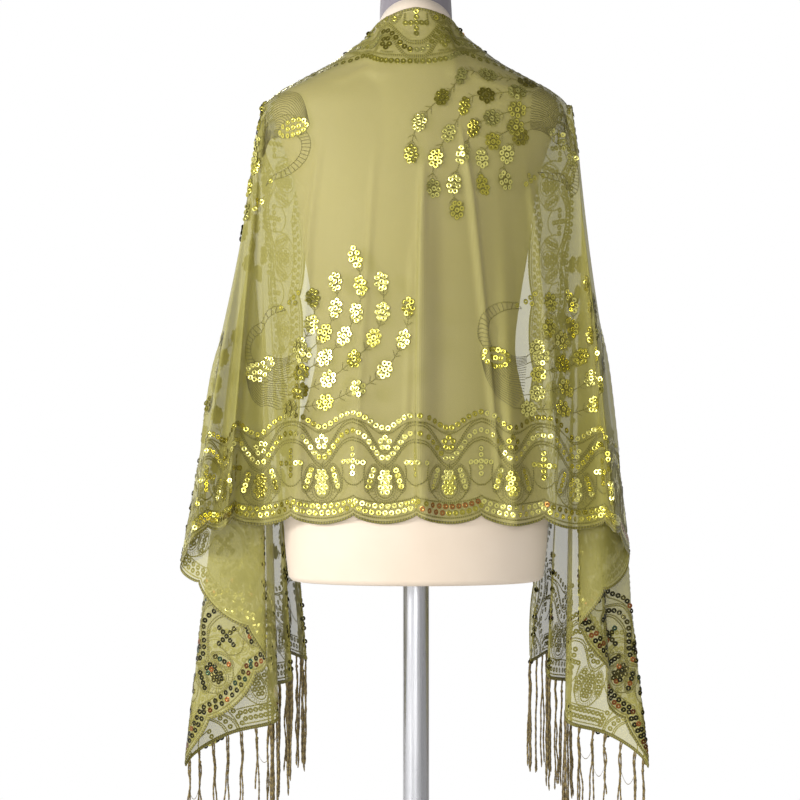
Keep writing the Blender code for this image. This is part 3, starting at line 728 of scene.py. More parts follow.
# ---- embroidery stitches
STITCH = 1.5 * MM  # length of one stitch along a cord
CORD_HALF = 1.15 * MM  # half the width of a corded line
CORD_HEIGHT = 0.55 * MM
FINE_HALF = 0.5 * MM
RAGGED = 0.45  # width of a cord between stitches, as a share of its width on them
UNEVEN = (0.85, 1.15)  # and how much that varies
LIFT = 0.25 * MM  # of embroidery above the net
SPAN_POINTS = 8  # of a smooth line, from one of its given points to the next

PATCH_SPOKES = 22  # of the stitched ground under a cluster, every other one shorter
PATCH_NOTCH, PATCH_UNEVEN = 0.72, 0.08
CLUSTER_GROUND = 12.5 * MM
CLUSTER_PETALS = 7
CLUSTER_RADIUS = 7.0 * MM
CLUSTER_STRETCH = 1.3
PETALS_RAISED = (0.2 * MM, 0.55 * MM)  # in turn, so that they overlap
MIDDLE_RAISED = 0.9 * MM

SEQUIN_SIDES = 10
SEQUIN_LIFT = 0.35 * MM
SLANT_LIFT = 2.0 * MM  # more, times its slant, which keeps its low side clear of the net
SEQUIN_SLANT = 0.06  # usual slant of a sequin on its thread, as a tangent
RUN_SLANT = 0.05  # that all sequins off one strand share, as the net puckers under them
CLUSTER_SLANT = 0.11  # and those of one cluster
# Rings of a sequin: radius and height in mm, and the share of its colour kept there: below 1 is painted shade, at
# its rim and round its hole.
SEQUIN_FRONT = [(3.65, 0.24, 0.45), (3.3, 0.34, 1.0), (1.25, 0.14, 1.0), (0.95, 0.02, 0.35)]
SEQUIN_BACK = [(3.65, 0.18, 1.0), (0.95, -0.12, 1.0)]

# Foil colours of the right side, with how often each occurs.
FOILS = [(46, (228, 220, 124)), (26, (206, 196, 88)), (16, (178, 168, 64)), (8, (146, 136, 50))]
# By the edge, where the foil shows its play of colours.
EDGE_FOILS = FOILS + [(11, (164, 112, 54)), (8, (112, 98, 44))]
STRAND = (4, 14)  # fewest and most sequins that come off one strand, all of one foil
# Wrong sides of the sequins, with how often each occurs: painted shade, dark in place of the same foil in shade.
WRONG_SIDE_SHADES = [(70, (34, 32, 15)), (20, (62, 57, 24)), (10, (92, 48, 20))]

# The low corner of each end hangs with its wrong side out. Where, on the flat net, seen from the shoulder tip:
TURNED_OVER = {"left": 0.66, "right": 0.6}  # distance from which on most sequins show that side
TURNED_BLEND = 0.03  # from there, each way, where some do
TURNED_FROM, TURNED_TO = (33.0, 38.0), (53.0, 57.0)  # angles between which that begins, and ends
# A turned-over sequin's front: mostly the painted shade of a wrong side, with some copper and green foil.
TURNED_SHADE_AND_FOILS = WRONG_SIDE_SHADES + [(11, (138, 80, 38)), (5, (38, 62, 46))]

# Colours of thread between two stitches, and on them: painted shade on the narrow rows between the stitches, and
# a painted highlight on the stitches.
CORD_SHADE_AND_HIGHLIGHT = (colour(76, 69, 20), colour(148, 140, 58))
FINE_SHADE_AND_HIGHLIGHT = (colour(80, 73, 26), colour(110, 102, 42))
GROUND_TONES = (colour(98, 90, 28), colour(116, 108, 38), colour(150, 142, 62))  # middle, notch and spoke
EDGE_CLEAR = 3 * MM  # between the turned-in neck edge and the stitches that show


def resample(path, step, closed=False):
    """Evenly spaced points along a line on the flat net."""
    path = path + path[:1] * closed
    reached = lengths(path)
    count = max(2, round(reached[-1] / step))
    spots, index = [], 0
    for number in range(count + (not closed)):
        index, share = find_span(reached, reached[-1] * number / count, index)
        spots.append(tuple(mix(first, second, share) for first, second in zip(path[index], path[index + 1])))
    return spots


def smooth_line(points):
    """A smooth line through a few points of the flat net."""
    made = []
    for index in range(len(points) - 1):
        around = beside(points, index, (-1, 0, 1, 2))
        for t in steps(SPAN_POINTS)[:-1]:
            made.append(tuple(0.5 * (2 * b + (c - a) * t + (2 * a - 5 * b + 4 * c - d) * t * t
                                     + (3 * b - a - 3 * c + d) * t ** 3) for a, b, c, d in zip(*around)))
    return made + points[-1:]


def turned_over(along, across):
    """How likely a sequin is to show its wrong side."""
    out, down = abs(along) - TIP_ALONG, across - TIP_ACROSS
    angle = degrees(atan2(out, down))
    start = TURNED_OVER["left" if along > 0 else "right"]
    return (ease(hypot(out, down), start - TURNED_BLEND, start + TURNED_BLEND)
            * ease(angle, *TURNED_FROM) * (1 - ease(angle, *TURNED_TO)))


def shown(spot):
    """Whether a stitch at a place is clear of the neck edge, where that is turned in."""
    return spot[1] > neck_edge(spot[0]) + EDGE_CLEAR


class Embroidery:
    """Everything that is stitched on the net, gathered by stretch."""

    def __init__(self, net, seed):
        self.net, self.random = net, random.Random(seed)
        self.cords, self.sequins = ({name: Batch() for name in ("back", "left", "right")} for _ in range(2))
        self.strand, self.strand_left, self.strand_foils = None, 0, None

    def cord(self, path, half=CORD_HALF, closed=False, tones=CORD_SHADE_AND_HIGHLIGHT):
        """A couched cord along a line, as far as it shows."""
        spots = resample(path, STITCH, closed)
        for seen, run in itertools.groupby(spots, shown):
            run = list(run)
            if seen and len(run) > 2:
                self.stitch(run, half, closed and len(run) == len(spots), tones)

    def stitch(self, spots, half, closed, tones):
        """A cord that is ragged at its sides, as its stitches are."""
        places, rows = [self.net.place(*spot) for spot in spots], []
        for index, (point, facing, _) in enumerate(places):
            before, after = beside(places, index, (-1, 1), closed)
            side = facing.cross(after[0] - before[0]).normalized()
            wide = half * (1.0 if index % 2 else RAGGED) * self.random.uniform(*UNEVEN)
            low = point + facing * LIFT
            rows.append([low + side * wide, point + facing * (LIFT + CORD_HEIGHT), low - side * wide])
        # The rows take the tones in turn: painted shade where the cord narrows between stitches, a painted
        # highlight on each stitch.
        self.cords[stretch_of(spots[len(spots) // 2][0])].strip(rows, tones, closed)

    def patch(self, along, across):
        """The stitched ground under a cluster of sequins: a disc of short spokes."""
        point, facing, _ = self.net.place(along, across)
        batch = self.cords[stretch_of(along)]
        start = len(batch.points)
        middle, notch, tip = GROUND_TONES
        batch.add([point + facing * (LIFT + CORD_HEIGHT / 2)], middle)
        for spoke in range(PATCH_SPOKES):
            turn = TURN * spoke / PATCH_SPOKES
            share = (1.0 if spoke % 2 else PATCH_NOTCH) + self.random.uniform(-PATCH_UNEVEN, PATCH_UNEVEN)
            reach = CLUSTER_GROUND * share
            rim, rim_facing, _ = self.net.place(along + reach * cos(turn), across + reach * sin(turn))
            batch.add([rim + rim_facing * LIFT], tip if spoke % 2 else notch)
            batch.faces.append((start, start + 1 + spoke, start + 1 + (spoke + 1) % PATCH_SPOKES))

    def pick(self, choices):
        weights = [weight for weight, _ in choices]
        return colour(*self.random.choices(choices, weights)[0][1])

    def slant(self, usual):
        """A random slant, along and across the net."""
        way, amount = self.random.uniform(0, TURN), abs(self.random.gauss(0, usual))
        return cos(way) * amount, sin(way) * amount

    def next_kind(self, foils):
        """Foil and slant of the next sequin. Neighbours come off one strand, so they are alike."""
        if self.strand_left == 0 or self.strand_foils is not foils:
            foil, self.strand_left, self.strand_foils = self.pick(foils), self.random.randint(*STRAND), foils
            self.strand = foil, self.slant(RUN_SLANT)
        self.strand_left -= 1
        return self.strand

    def sequin(self, along, across, raised=0.0, kind=None, foils=FOILS):
        """A cupped foil ring: foil on its right side, painted shade on its wrong side, and painted shade at its
        rim and round its hole. kind is its foil and slant.
        """
        if not shown((along, across)):
            return
        point, facing, run = self.net.place(along, across)
        other = facing.cross(run)
        outer, shared = kind or self.next_kind(foils)
        # inner is the painted shade of the wrong side.
        own, inner = self.slant(SEQUIN_SLANT), self.pick(WRONG_SIDE_SHADES)
        tilt = own[0] + shared[0], own[1] + shared[1]
        up = (facing + run * tilt[0] + other * tilt[1]).normalized()
        way = self.random.uniform(0, TURN)
        first = up.cross(other).normalized()
        second = up.cross(first)
        centre = point + facing * (SEQUIN_LIFT + raised + SLANT_LIFT * hypot(*tilt))
        # Turned over, the front takes mostly painted shade, some copper and green foil, and the foil goes behind.
        if self.random.random() < turned_over(along, across):
            outer, inner = self.pick(TURNED_SHADE_AND_FOILS), outer
        # Each ring's colour is scaled by its share, which paints shade at the rim and round the hole.
        for shape, tint, order in ((SEQUIN_FRONT, outer, 1), (SEQUIN_BACK, inner, -1)):
            self.sequins[stretch_of(along)].tube(
                [ring(SEQUIN_SIDES, centre + up * (height * MM), first * (radius * MM),
                      second * (radius * MM), way) for radius, height, _ in shape],
                [(*(value * painted_shading for value in tint[:3]), 1.0) for *_, painted_shading in shape], False, order)

    def cluster(self, along, across, heading):
        """A flower of sequins: one in the middle and seven round it, pointed towards its twig's root."""
        self.patch(along, across)
        kind = self.pick(FOILS), self.slant(CLUSTER_SLANT)
        for petal in range(CLUSTER_PETALS):
            turn = TURN * petal / CLUSTER_PETALS
            out, aside = -CLUSTER_RADIUS * cos(turn) * CLUSTER_STRETCH, CLUSTER_RADIUS * sin(turn)
            self.sequin(along + out * cos(heading) - aside * sin(heading),
                        across + out * sin(heading) + aside * cos(heading),
                        PETALS_RAISED[petal % 2], kind)
        self.sequin(along, across, MIDDLE_RAISED, kind)


# ---- the scalloped border
# All in mm on the flat net: x from the middle of a scallop, v inward from the edge.
LINE_STEP = 2.0
SEQUIN_PITCH = 9.2
EDGE_CORDS = (7.0, 26.0)  # v
EDGE_SEQUINS = (13.0, 21.0)
EDGE_CALM = 90.0  # v at which a line along the edge would run straight
WAVE_CORDS = [(83.0, 15.5), (86.4, 15.5), (102.4, 17.0), (105.8, 17.0), (116.0, 7.5)]  # v and swing
WAVE_SEQUINS = [(94.5, 15.5), (123.5, 7.5)]
WAVE_ARCH = 1.5  # over one, for broad crests and narrow troughs
OUTER_WAVE = 110  # v, above which a wave is part of the outermost row
NAPE_CALM = 0.8  # how nearly straight that row is drawn at the nape
NAPE_STOUT = 1.75  # how much stouter the cords look there, bunched by the gathers
DROP = (0, 50.5)  # middle of the teardrop in each repeat
DROP_CORD, DROP_OUTLINE, DROP_RAYS = (12.0, 19.5), (15.0, 22.5), (16.0, 23.5)  # half its width and height
DROP_POINTS = 30
DROP_WIDE = 0.77  # highest value of sin(turn) * sin(turn / 2)
DROP_ROWS = (38.0, 44.0, 50.0, 56.0, 62.0)  # v of its rows of sequins, two and three in turn
DROP_PAIR, DROP_THREE = (-3.3, 3.3), (-6.6, 0.0, 6.6)
RAY = 3.6  # length and spacing of the short stitches round it
OVAL_AT, OVAL_LEAN = (20, 55), 20.0  # middle of an oval beside it, and degrees. The other is its mirror image.
OVAL_CORD, OVAL_OUTLINE = (6.5, 16), (8.8, 18.3)
OVAL_SEQUINS = (-10.5, -3.5, 3.5, 10.5)
SADDLE_FROM, SADDLE_V, SADDLE_RISE, SADDLE_WIDE = 31.0, 46, 9, 15  # the cord below the cross
ARCH_AT, ARCH_SIZE, ARCH_TURN = (0, 60), (31, 36), 110  # the cord round the drop and the ovals
CROSS_V, CROSS_STEP = 74, 7.3
FLOWER_V, FLOWER_RADIUS, FLOWER_PETALS = 98, 6.5, 5
BAR = [(-12, 111), (12, 111)]
OVAL_STEP = 12.0  # degrees

END_REPEATS = 4
END_BORDER = (0.13, 0.52)  # across the net, between the two long borders

# At the nape the neck edge is turned in and gathered, and the border lies that much further out.
NAPE_SHIFT = 0.042
NAPE_FULL, NAPE_END = 0.12, 0.28  # along the net, where that begins to fade and where it ends


def bent(start, end, shape):
    """Points of a line v = shape(x)."""
    return [(x, shape(x)) for x in steps(max(2, round((end - start) / LINE_STEP)), start, end)]


def oval(centre, half_wide, half_high, lean=0.0, first=0.0, last=360.0):
    """Part of an oval. Angles start at its foot; lean turns it, in degrees."""
    cosine, sine = cos(radians(lean)), sin(radians(lean))
    points = []
    for turn in steps(round((last - first) / OVAL_STEP), radians(first), radians(last)):
        x, v = half_wide * sin(turn), -half_high * cos(turn)
        points.append((centre[0] + x * cosine - v * sine, centre[1] + x * sine + v * cosine))
    return points


def teardrop(half_wide, half_high):
    return [(DROP[0] + half_wide / DROP_WIDE * sin(turn) * sin(turn / 2),
             DROP[1] + half_high * cos(turn)) for turn in steps(DROP_POINTS, 0, TURN)[:-1]]


def border_repeat(work, to_net, pitch, depth, gathered=lambda x: 0.0):
    """One repeat of the border. to_net carries (x, v) to the net, and depth is that of its scallop."""
    half = pitch / 2

    def cord(path, half=CORD_HALF, **options):
        work.cord([to_net(x, v) for x, v in path], half * mix(1.0, NAPE_STOUT, gathered(path[0][0])), **options)

    def sequins(spots, foils=FOILS):
        for x, v in spots:
            work.sequin(*to_net(x, v), foils=foils)

    def sequin_row(shape, shift=0.0, foils=FOILS):
        line = [(x + shift, v) for x, v in bent(-half, half, shape)]
        sequins(resample(line, SEQUIN_PITCH)[:-1], foils)

    def edge(offset, shift=0.0):
        def height(x):
            scalloped = depth * (1 - abs(cos(pi * (x + shift) / pitch)) ** SCALLOP_SHARPNESS)
            return scalloped * (1 - offset / EDGE_CALM) + offset
        return height

    def wave(middle, swing):
        calm = NAPE_CALM if middle > OUTER_WAVE else 0.0

        def height(x):
            fall = ((1 + cos(TURN * x / pitch)) / 2) ** WAVE_ARCH
            return middle - swing * (1 - calm * gathered(x)) * (2 * fall - 1)
        return height

    for shape in [edge(offset) for offset in EDGE_CORDS] + [wave(*one) for one in WAVE_CORDS]:
        cord(bent(-half, half, shape))
    for number, offset in enumerate(EDGE_SEQUINS):
        shift = SEQUIN_PITCH / 2 * number
        sequin_row(edge(offset, shift), shift, EDGE_FOILS)
    cord(teardrop(*DROP_CORD), closed=True)
    cord(teardrop(*DROP_OUTLINE), FINE_HALF, closed=True)
    sequins((x, v) for number, v in enumerate(DROP_ROWS) for x in (DROP_THREE if number % 2 else DROP_PAIR))
    drop = resample(teardrop(*DROP_RAYS), RAY)
    for before, here in zip(drop, drop[1:]):
        way = here[0] - before[0], here[1] - before[1]
        size = hypot(*way) or 1.0
        cord([here, (here[0] - way[1] / size * RAY, here[1] + way[0] / size * RAY)], FINE_HALF)
    for side in (-1, 1):
        centre, lean = (side * OVAL_AT[0], OVAL_AT[1]), radians(OVAL_LEAN)
        cord(oval(centre, *OVAL_CORD, side * OVAL_LEAN)[:-1], closed=True)
        cord(oval(centre, *OVAL_OUTLINE, side * OVAL_LEAN)[:-1], FINE_HALF, closed=True)
        sequins((centre[0] - side * step * sin(lean), centre[1] + step * cos(lean))
                for step in OVAL_SEQUINS)
        cord(bent(*((-half, -SADDLE_FROM) if side < 0 else (SADDLE_FROM, half)),
                  lambda x: SADDLE_V + SADDLE_RISE * ((abs(x) - half) / SADDLE_WIDE) ** 2))
    cord(oval(ARCH_AT, *ARCH_SIZE, 0.0, -ARCH_TURN, ARCH_TURN))
    for turn in steps(4, 0, TURN)[:-1]:
        sequins((half + CROSS_STEP * step * cos(turn), CROSS_V + CROSS_STEP * step * sin(turn))
                for step in (1, 2))
    sequins([(half, CROSS_V)])
    inner, outer = WAVE_SEQUINS
    sequin_row(wave(*inner))
    sequins((FLOWER_RADIUS * sin(turn), FLOWER_V + FLOWER_RADIUS * cos(turn))
            for turn in steps(FLOWER_PETALS, 0, TURN)[:-1])
    cord(BAR)
    sequin_row(wave(*outer))


def gather(along):
    return 1 - ease(abs(along), NAPE_FULL, NAPE_END)


def border(work):
    """The border along both long edges, and across both ends between them."""
    for repeat in range(round(2 * END_ALONG / PITCH)):
        middle = -END_ALONG + (repeat + 0.5) * PITCH

        def neck_place(x, v):
            along = middle - x * MM
            return along, v * MM - NAPE_SHIFT * gather(along)

        border_repeat(work, lambda x, v: (middle + x * MM, WIDTH - v * MM), PITCH / MM, SCALLOP_DEPTH / MM)
        border_repeat(work, neck_place, PITCH / MM, SCALLOP_DEPTH / MM, lambda x: gather(middle - x * MM))
    end_pitch = (END_BORDER[1] - END_BORDER[0]) / END_REPEATS
    for sign in (-1, 1):
        for repeat in range(END_REPEATS):
            middle = END_BORDER[0] + (repeat + 0.5) * end_pitch
            border_repeat(work, lambda x, v: (sign * (END_ALONG - v * MM), middle + sign * x * MM),
                          end_pitch / MM, 0.0)


# ---- the birds
BIRDS = 4  # in a row
# The net is drawn out over the shoulders and pulled long below them, and the birds with it. body scales a bird's
# length and height, and tail those of its tail, with a shift down its back. Over one, curl bends the twigs late.
HEM_BIRDS = dict(first=0.58, pitch=0.347, across=0.4525, way=-1,
                 body=(1.17, 0.88), tail=(1.17, 0.88, -11.0), curl=1.2)
# the same, turned half round
NECK_BIRDS = dict(first=-0.63, pitch=0.41, across=0.168, way=1,
                  body=(1.1, 0.78), tail=(1.05, 0.9, -12.0), curl=2.0)

# Twigs of a bird's tail, inmost first, in mm and degrees.
TWIGS = [
    # root, heading, turn, first, step, clusters
    ((42, 18), 42, 60, 18, 35, 3), ((42, 8), 28, 75, 22, 37, 4), ((40, -12), 21, 90, 17, 37, 6),
    ((38, -35), 12, 90, 17, 41, 6), ((25, -53), -3, 95, 17, 46, 6),
]
TWIG_STEP = 3.0
TWIG_HALF = 0.75 * MM
THORN, THORN_ANGLE = 9.0, 48
THORN_GAP = 5.0  # between the two pairs of thorns on a long stretch
LONG_STRETCH = 44

BIRD_OVAL = (19, 14.5)  # of the body
BIRD_RIM = 3.2  # from it to the ring of sequins inside
BIRD_GAP = 7.0  # between two of them
BIRD_INNER = (-7.0, 0, 7.0)  # and along its middle
BIRD_NECK = [(-15, 9), (-21, 22), (-22, 38), (-17, 55), (-6, 68), (9, 76), (27, 77)]
BIRD_THROAT = [(-4, 13), (-10, 24), (-11, 37), (-7, 49), (2, 59), (13, 66), (25, 69)]
BIRD_BILL = [(25, 69), (33, 70), (27, 77)]
BIRD_CREST = [(27, 74), (38, 80), (44, 86), (50, 92), (46, 78)]
BIRD_WING = [(-10, -6), (2, -20), (18, -26)]
BARB_STEP = 3  # points of the neck's smooth lines between two of its barbs
HATCHES = 24  # threads from the body to the twigs' roots
HATCH_FROM = (190, 385)  # degrees round the body, where the first and the last leave it
HATCH_BOW = ((9, 8), (2, 2))  # how far these two bow


def bird(work, middle, across, way, body, tail, curl):
    """A peacock with a tail of thorny twigs, drawn in mm: a towards its tail, b up its back."""
    stretch, squeeze, shift = tail

    def to_net(a, b):
        return middle + way * a * MM, across + way * b * MM

    def shaped(path):
        return [(a * body[0], b * body[1]) for a, b in path]

    def cord(path, half=TWIG_HALF, **options):
        work.cord([to_net(a, b) for a, b in path], half, **options)

    def fine(path):
        # fine threads, in painted shade and painted highlight in turn
        cord(path, FINE_HALF, tones=FINE_SHADE_AND_HIGHLIGHT)

    def sequins(spots):
        kind = work.pick(FOILS), work.slant(CLUSTER_SLANT)
        for a, b in spots:
            work.sequin(*to_net(a, b), kind=kind)

    def tail_place(a, b):
        return BIRD_OVAL[0] + (a - BIRD_OVAL[0]) * stretch, b * squeeze + shift

    for (a, b), heading, turn, first, spacing, clusters in TWIGS:
        length = first + spacing * (clusters - 1)
        path, ways = [tail_place(a, b)], [radians(heading)]
        count = round(length / TWIG_STEP)
        for step in range(count):
            now = radians(heading + turn * ((step + 0.5) / count) ** curl)
            a += length / count * cos(now)
            b += length / count * sin(now)
            path.append(tail_place(a, b))
            ways.append(now)
        cord(path)
        for number in range(clusters):
            index = round((first + spacing * number) / length * count)
            work.cluster(*to_net(*path[index]), ways[index])
            if number == 0:
                continue
            between, gap = index - spacing / 2 / length * count, THORN_GAP / length * count
            for at in ([between] if spacing < LONG_STRETCH else [between - gap, between + gap]):
                root = path[round(at)]
                for lean in (-THORN_ANGLE, THORN_ANGLE):
                    thorn = ways[round(at)] + radians(lean)
                    cord([root, (root[0] + THORN * cos(thorn), root[1] + THORN * sin(thorn))])
    cord(shaped(oval((0, 0), *BIRD_OVAL)[:-1]), closed=True)
    rim = shaped(oval((0, 0), BIRD_OVAL[0] - BIRD_RIM, BIRD_OVAL[1] - BIRD_RIM)[:-1])
    sequins(resample(rim, BIRD_GAP, closed=True) + [(a, 0) for a in BIRD_INNER])
    neck, throat = smooth_line(shaped(BIRD_NECK)), smooth_line(shaped(BIRD_THROAT))
    cord(neck)
    cord(throat)
    for barb in range(BARB_STEP, len(neck) - 1, BARB_STEP):
        fine([neck[barb], throat[barb - 1]])
    fine(shaped(BIRD_BILL))
    cord(smooth_line(shaped(BIRD_WING)))
    sequins(shaped(BIRD_CREST))
    roots = [tail_place(*root) for root, *_ in TWIGS]
    for share in steps(HATCHES - 1):
        turn = radians(mix(*HATCH_FROM, share))
        start, = shaped([(BIRD_OVAL[0] * cos(turn), BIRD_OVAL[1] * sin(turn))])
        place = (1 - share) * (len(roots) - 1)
        near, further = beside(roots, int(place), (0, 1))
        end = tuple(mix(near[axis], further[axis], place % 1) for axis in (0, 1))
        bow = tuple((start[axis] + end[axis]) / 2 - mix(HATCH_BOW[0][axis], HATCH_BOW[1][axis], share)
                    for axis in (0, 1))
        fine(smooth_line([start, bow, end]))


def birds(work):
    for row in (HEM_BIRDS, NECK_BIRDS):
        for number in range(BIRDS):
            bird(work, row["first"] + row["way"] * number * row["pitch"],
                 *(row[name] for name in ("across", "way", "body", "tail", "curl")))


# ---- the net and its edges
END_LINE = (SCALLOP_DEPTH, WIDTH - SCALLOP_DEPTH)  # across the net, along its ends
EDGING_WIDTH, EDGING_THICK = 3.6 * MM, 1.3 * MM
HEADING_WIDTH, HEADING_THICK = 5.0 * MM, 2.2 * MM
EDGING_STEP = 2.0 * MM
EDGING_SIDES = 6
EDGING_OUT = 0.4 * MM  # how far it reaches out past the net
EDGING_RIDGES = (0.9, 1.12)  # its thickness between two stitches and on them
EDGING_UNEVEN = (0.94, 1.06)
EDGE_PROBE = 4 * MM  # into the net, for the way that the net leaves its edge


def build_net(net, material):
    batch = Batch()
    batch.strip(net.columns)
    made = batch.piece("stole_net", material, "olive_net", "stole_back", "stole_left", "stole_right")
    places = []
    for column in range(len(net.columns)):
        along = (column - net.half) * net.step
        places += [(along, net.across_of(along, row / ROWS)) for row in range(ROWS + 1)]
    cut = made.data.uv_layers.new(name="cut")
    for loop in made.data.loops:
        cut.data[loop.index].uv = places[loop.vertex_index]
    return made


def edging(net, spots, inward, width, thick, seed):
    """Sections of the thread round an edge of the net. inward is the way into the net."""
    rough = random.Random(seed)
    rings = []
    for index, (along, across) in enumerate(spots):
        point, facing, _ = net.place(along, across)
        deeper = net.place(along + inward[0] * EDGE_PROBE, across + inward[1] * EDGE_PROBE)[0]
        inside = (deeper - point).normalized()
        ridge = EDGING_RIDGES[index % 2] * rough.uniform(*EDGING_UNEVEN) / 2
        rings.append(ring(EDGING_SIDES, point + inside * (width / 2 - EDGING_OUT), inside * (width * ridge),
                          facing * (thick * ridge)))
    return rings


def build_edges(net, threads):
    """The overlocked long edges, and the rolled headings of the ends that carry the fringe."""
    batch = Batch()
    top, bottom = END_LINE
    alongs = steps(round(2 * END_ALONG / EDGING_STEP), -END_ALONG, END_ALONG)
    # The edgings take the cord's tones ring by ring: painted shade on the thin rings between stitches, a painted
    # highlight on the thick ones.
    for sign, edge in ((1, lambda along: WIDTH - scallop(along)), (-1, neck_edge)):
        batch.tube(edging(net, [(along, edge(along)) for along in alongs], (0, -sign),
                          EDGING_WIDTH, EDGING_THICK, EDGE_SEED), CORD_SHADE_AND_HIGHLIGHT)
    for sign in (1, -1):
        spots = [(sign * END_ALONG, across) for across in steps(round((bottom - top) / EDGING_STEP), top, bottom)]
        batch.tube(edging(net, spots, (-sign, 0), HEADING_WIDTH, HEADING_THICK, HEADING_SEED), CORD_SHADE_AND_HIGHLIGHT)
    return batch.piece("stole_edges", threads, "olive_net")


# ---- the fringe
BUNCH_PITCH = 0.021
BUNCH_UNEVEN = 0.15  # each way, as a share of that
FRINGE_LENGTH = 0.15
LENGTH_UNEVEN = (-0.06, 0.05)  # of its strands, as a share of that
STRAND_RINGS, STRAND_SIDES = 44, 6
STRAND_WIDE, STRAND_NARROW = 1.4 * MM, 1.05 * MM  # half the width and depth of two plied threads
STRAND_TIP = 0.5  # of that, at the end
PLY_TWIST = 0.022  # length of one turn of the ply
WAVE_START = 0.02  # below the heading, where the waves are complete
WAVE_SWING, WAVE_PACE = (0.3, 0.9), (10, 26)  # of a strand's two waves, in mm and turns to a metre
STRANDS = (2, 2, 3, 2, 2)
STRAND_SPREAD = 2.6 * MM  # at the heading, and more as they fall:
STRAND_LOOSE, STRAND_FAN = 2.0 * MM, 2.4 * MM
STRAND_CLOSES = (0.01, 0.05)  # below the heading, where they leave the first of these
STRAND_OPEN = 0.7  # share of the fringe's length at which they reach the others
STRAND_SWAY, SWAY_DEPTH = 3.0 * MM, 0.6  # sideways, and the share of it in and out
STRAND_ROOT = 1.5 * MM  # how far inside the heading they start
SHORT_SHARE, SHORT_LENGTH = 0.07, (0.45, 0.7)  # of the strands that are broken off short
KNOTTED_SHARE = 0.35
KNOT_DROP = (0.01, 0.018)  # below the heading
KNOT_NARROW = 0.006  # above and below a knot, where its strands come together
KNOT_RADIUS = 2.2 * MM
KNOT_LEVELS, KNOT_SIDES, KNOT_LONG = 5, 7, 1.15
OVER_EDGE = 0.006  # how far the threads reach out past the heading before they fall
KNOT_OUT = 0.8  # share of that at which a knot sits
KNOT_UP = 0.003  # and its height above the place where its strands are closest
# Bronze of the fringe, ring by ring in turn: dark, a painted highlight, and mid.
STRAND_TONES_AND_HIGHLIGHT = (colour(100, 84, 46), colour(156, 136, 80), colour(128, 109, 62))
LOOP_SHARE = 0.22  # of the bunches that a stray loop of thread joins to the next
LOOP_DROP, LOOP_SAG = (0.015, 0.05), (0.008, 0.018)
LOOP_STEPS, LOOP_SIDES, LOOP_HALF = 14, 5, 0.5 * MM
END_SAMPLES = 200  # along an end of the net
END_PROBE = 6 * MM  # into the net, for the way that the net leaves its end


def hanging_thread(batch, root, away, length, offset_at, rough):
    """Two plied threads that hang from the heading. offset_at(fall) is how far aside they are."""
    phase, waves, rings = rough.uniform(0, TURN), [], []
    for _ in range(2):
        waves.append((rough.uniform(*WAVE_SWING) * MM, rough.uniform(*WAVE_PACE), rough.uniform(0, TURN)))
    for level in range(STRAND_RINGS + 1):
        fall = length * level / STRAND_RINGS
        out = OVER_EDGE * (1 - exp(-fall / OVER_EDGE))
        centre = root + offset_at(fall) + away * out + Z * (out - fall)
        for swing, pace, start in waves:
            aside = swing * sin(start + fall * TURN * pace) * ease(fall, 0, WAVE_START)
            centre = centre + radial(start) * aside
        twist = phase + TURN * fall / PLY_TWIST
        taper = STRAND_TIP if level == STRAND_RINGS else 1.0
        rings.append(ring(STRAND_SIDES, centre, radial(twist) * (STRAND_WIDE * taper),
                          radial(twist + TURN / 4) * (STRAND_NARROW * taper)))
    batch.tube(rings, STRAND_TONES_AND_HIGHLIGHT)


def knot(batch, centre):
    batch.tube([ring(KNOT_SIDES, centre + Z * (KNOT_RADIUS * KNOT_LONG * cos(turn)),
                     X * (KNOT_RADIUS * sin(turn)), Y * (KNOT_RADIUS * sin(turn)))
                for turn in (pi * (level + 0.5) / KNOT_LEVELS for level in range(KNOT_LEVELS))],
               STRAND_TONES_AND_HIGHLIGHT)


def stray_loop(batch, start, end, sag):
    """A thin thread that hangs in a loop between two bunches."""
    side = (end - start).cross(Z).normalized() * LOOP_HALF
    batch.tube([ring(LOOP_SIDES, start.lerp(end, share) - Z * (sag * 4 * share * (1 - share)),
                     side, Z * LOOP_HALF) for share in steps(LOOP_STEPS)], STRAND_TONES_AND_HIGHLIGHT)


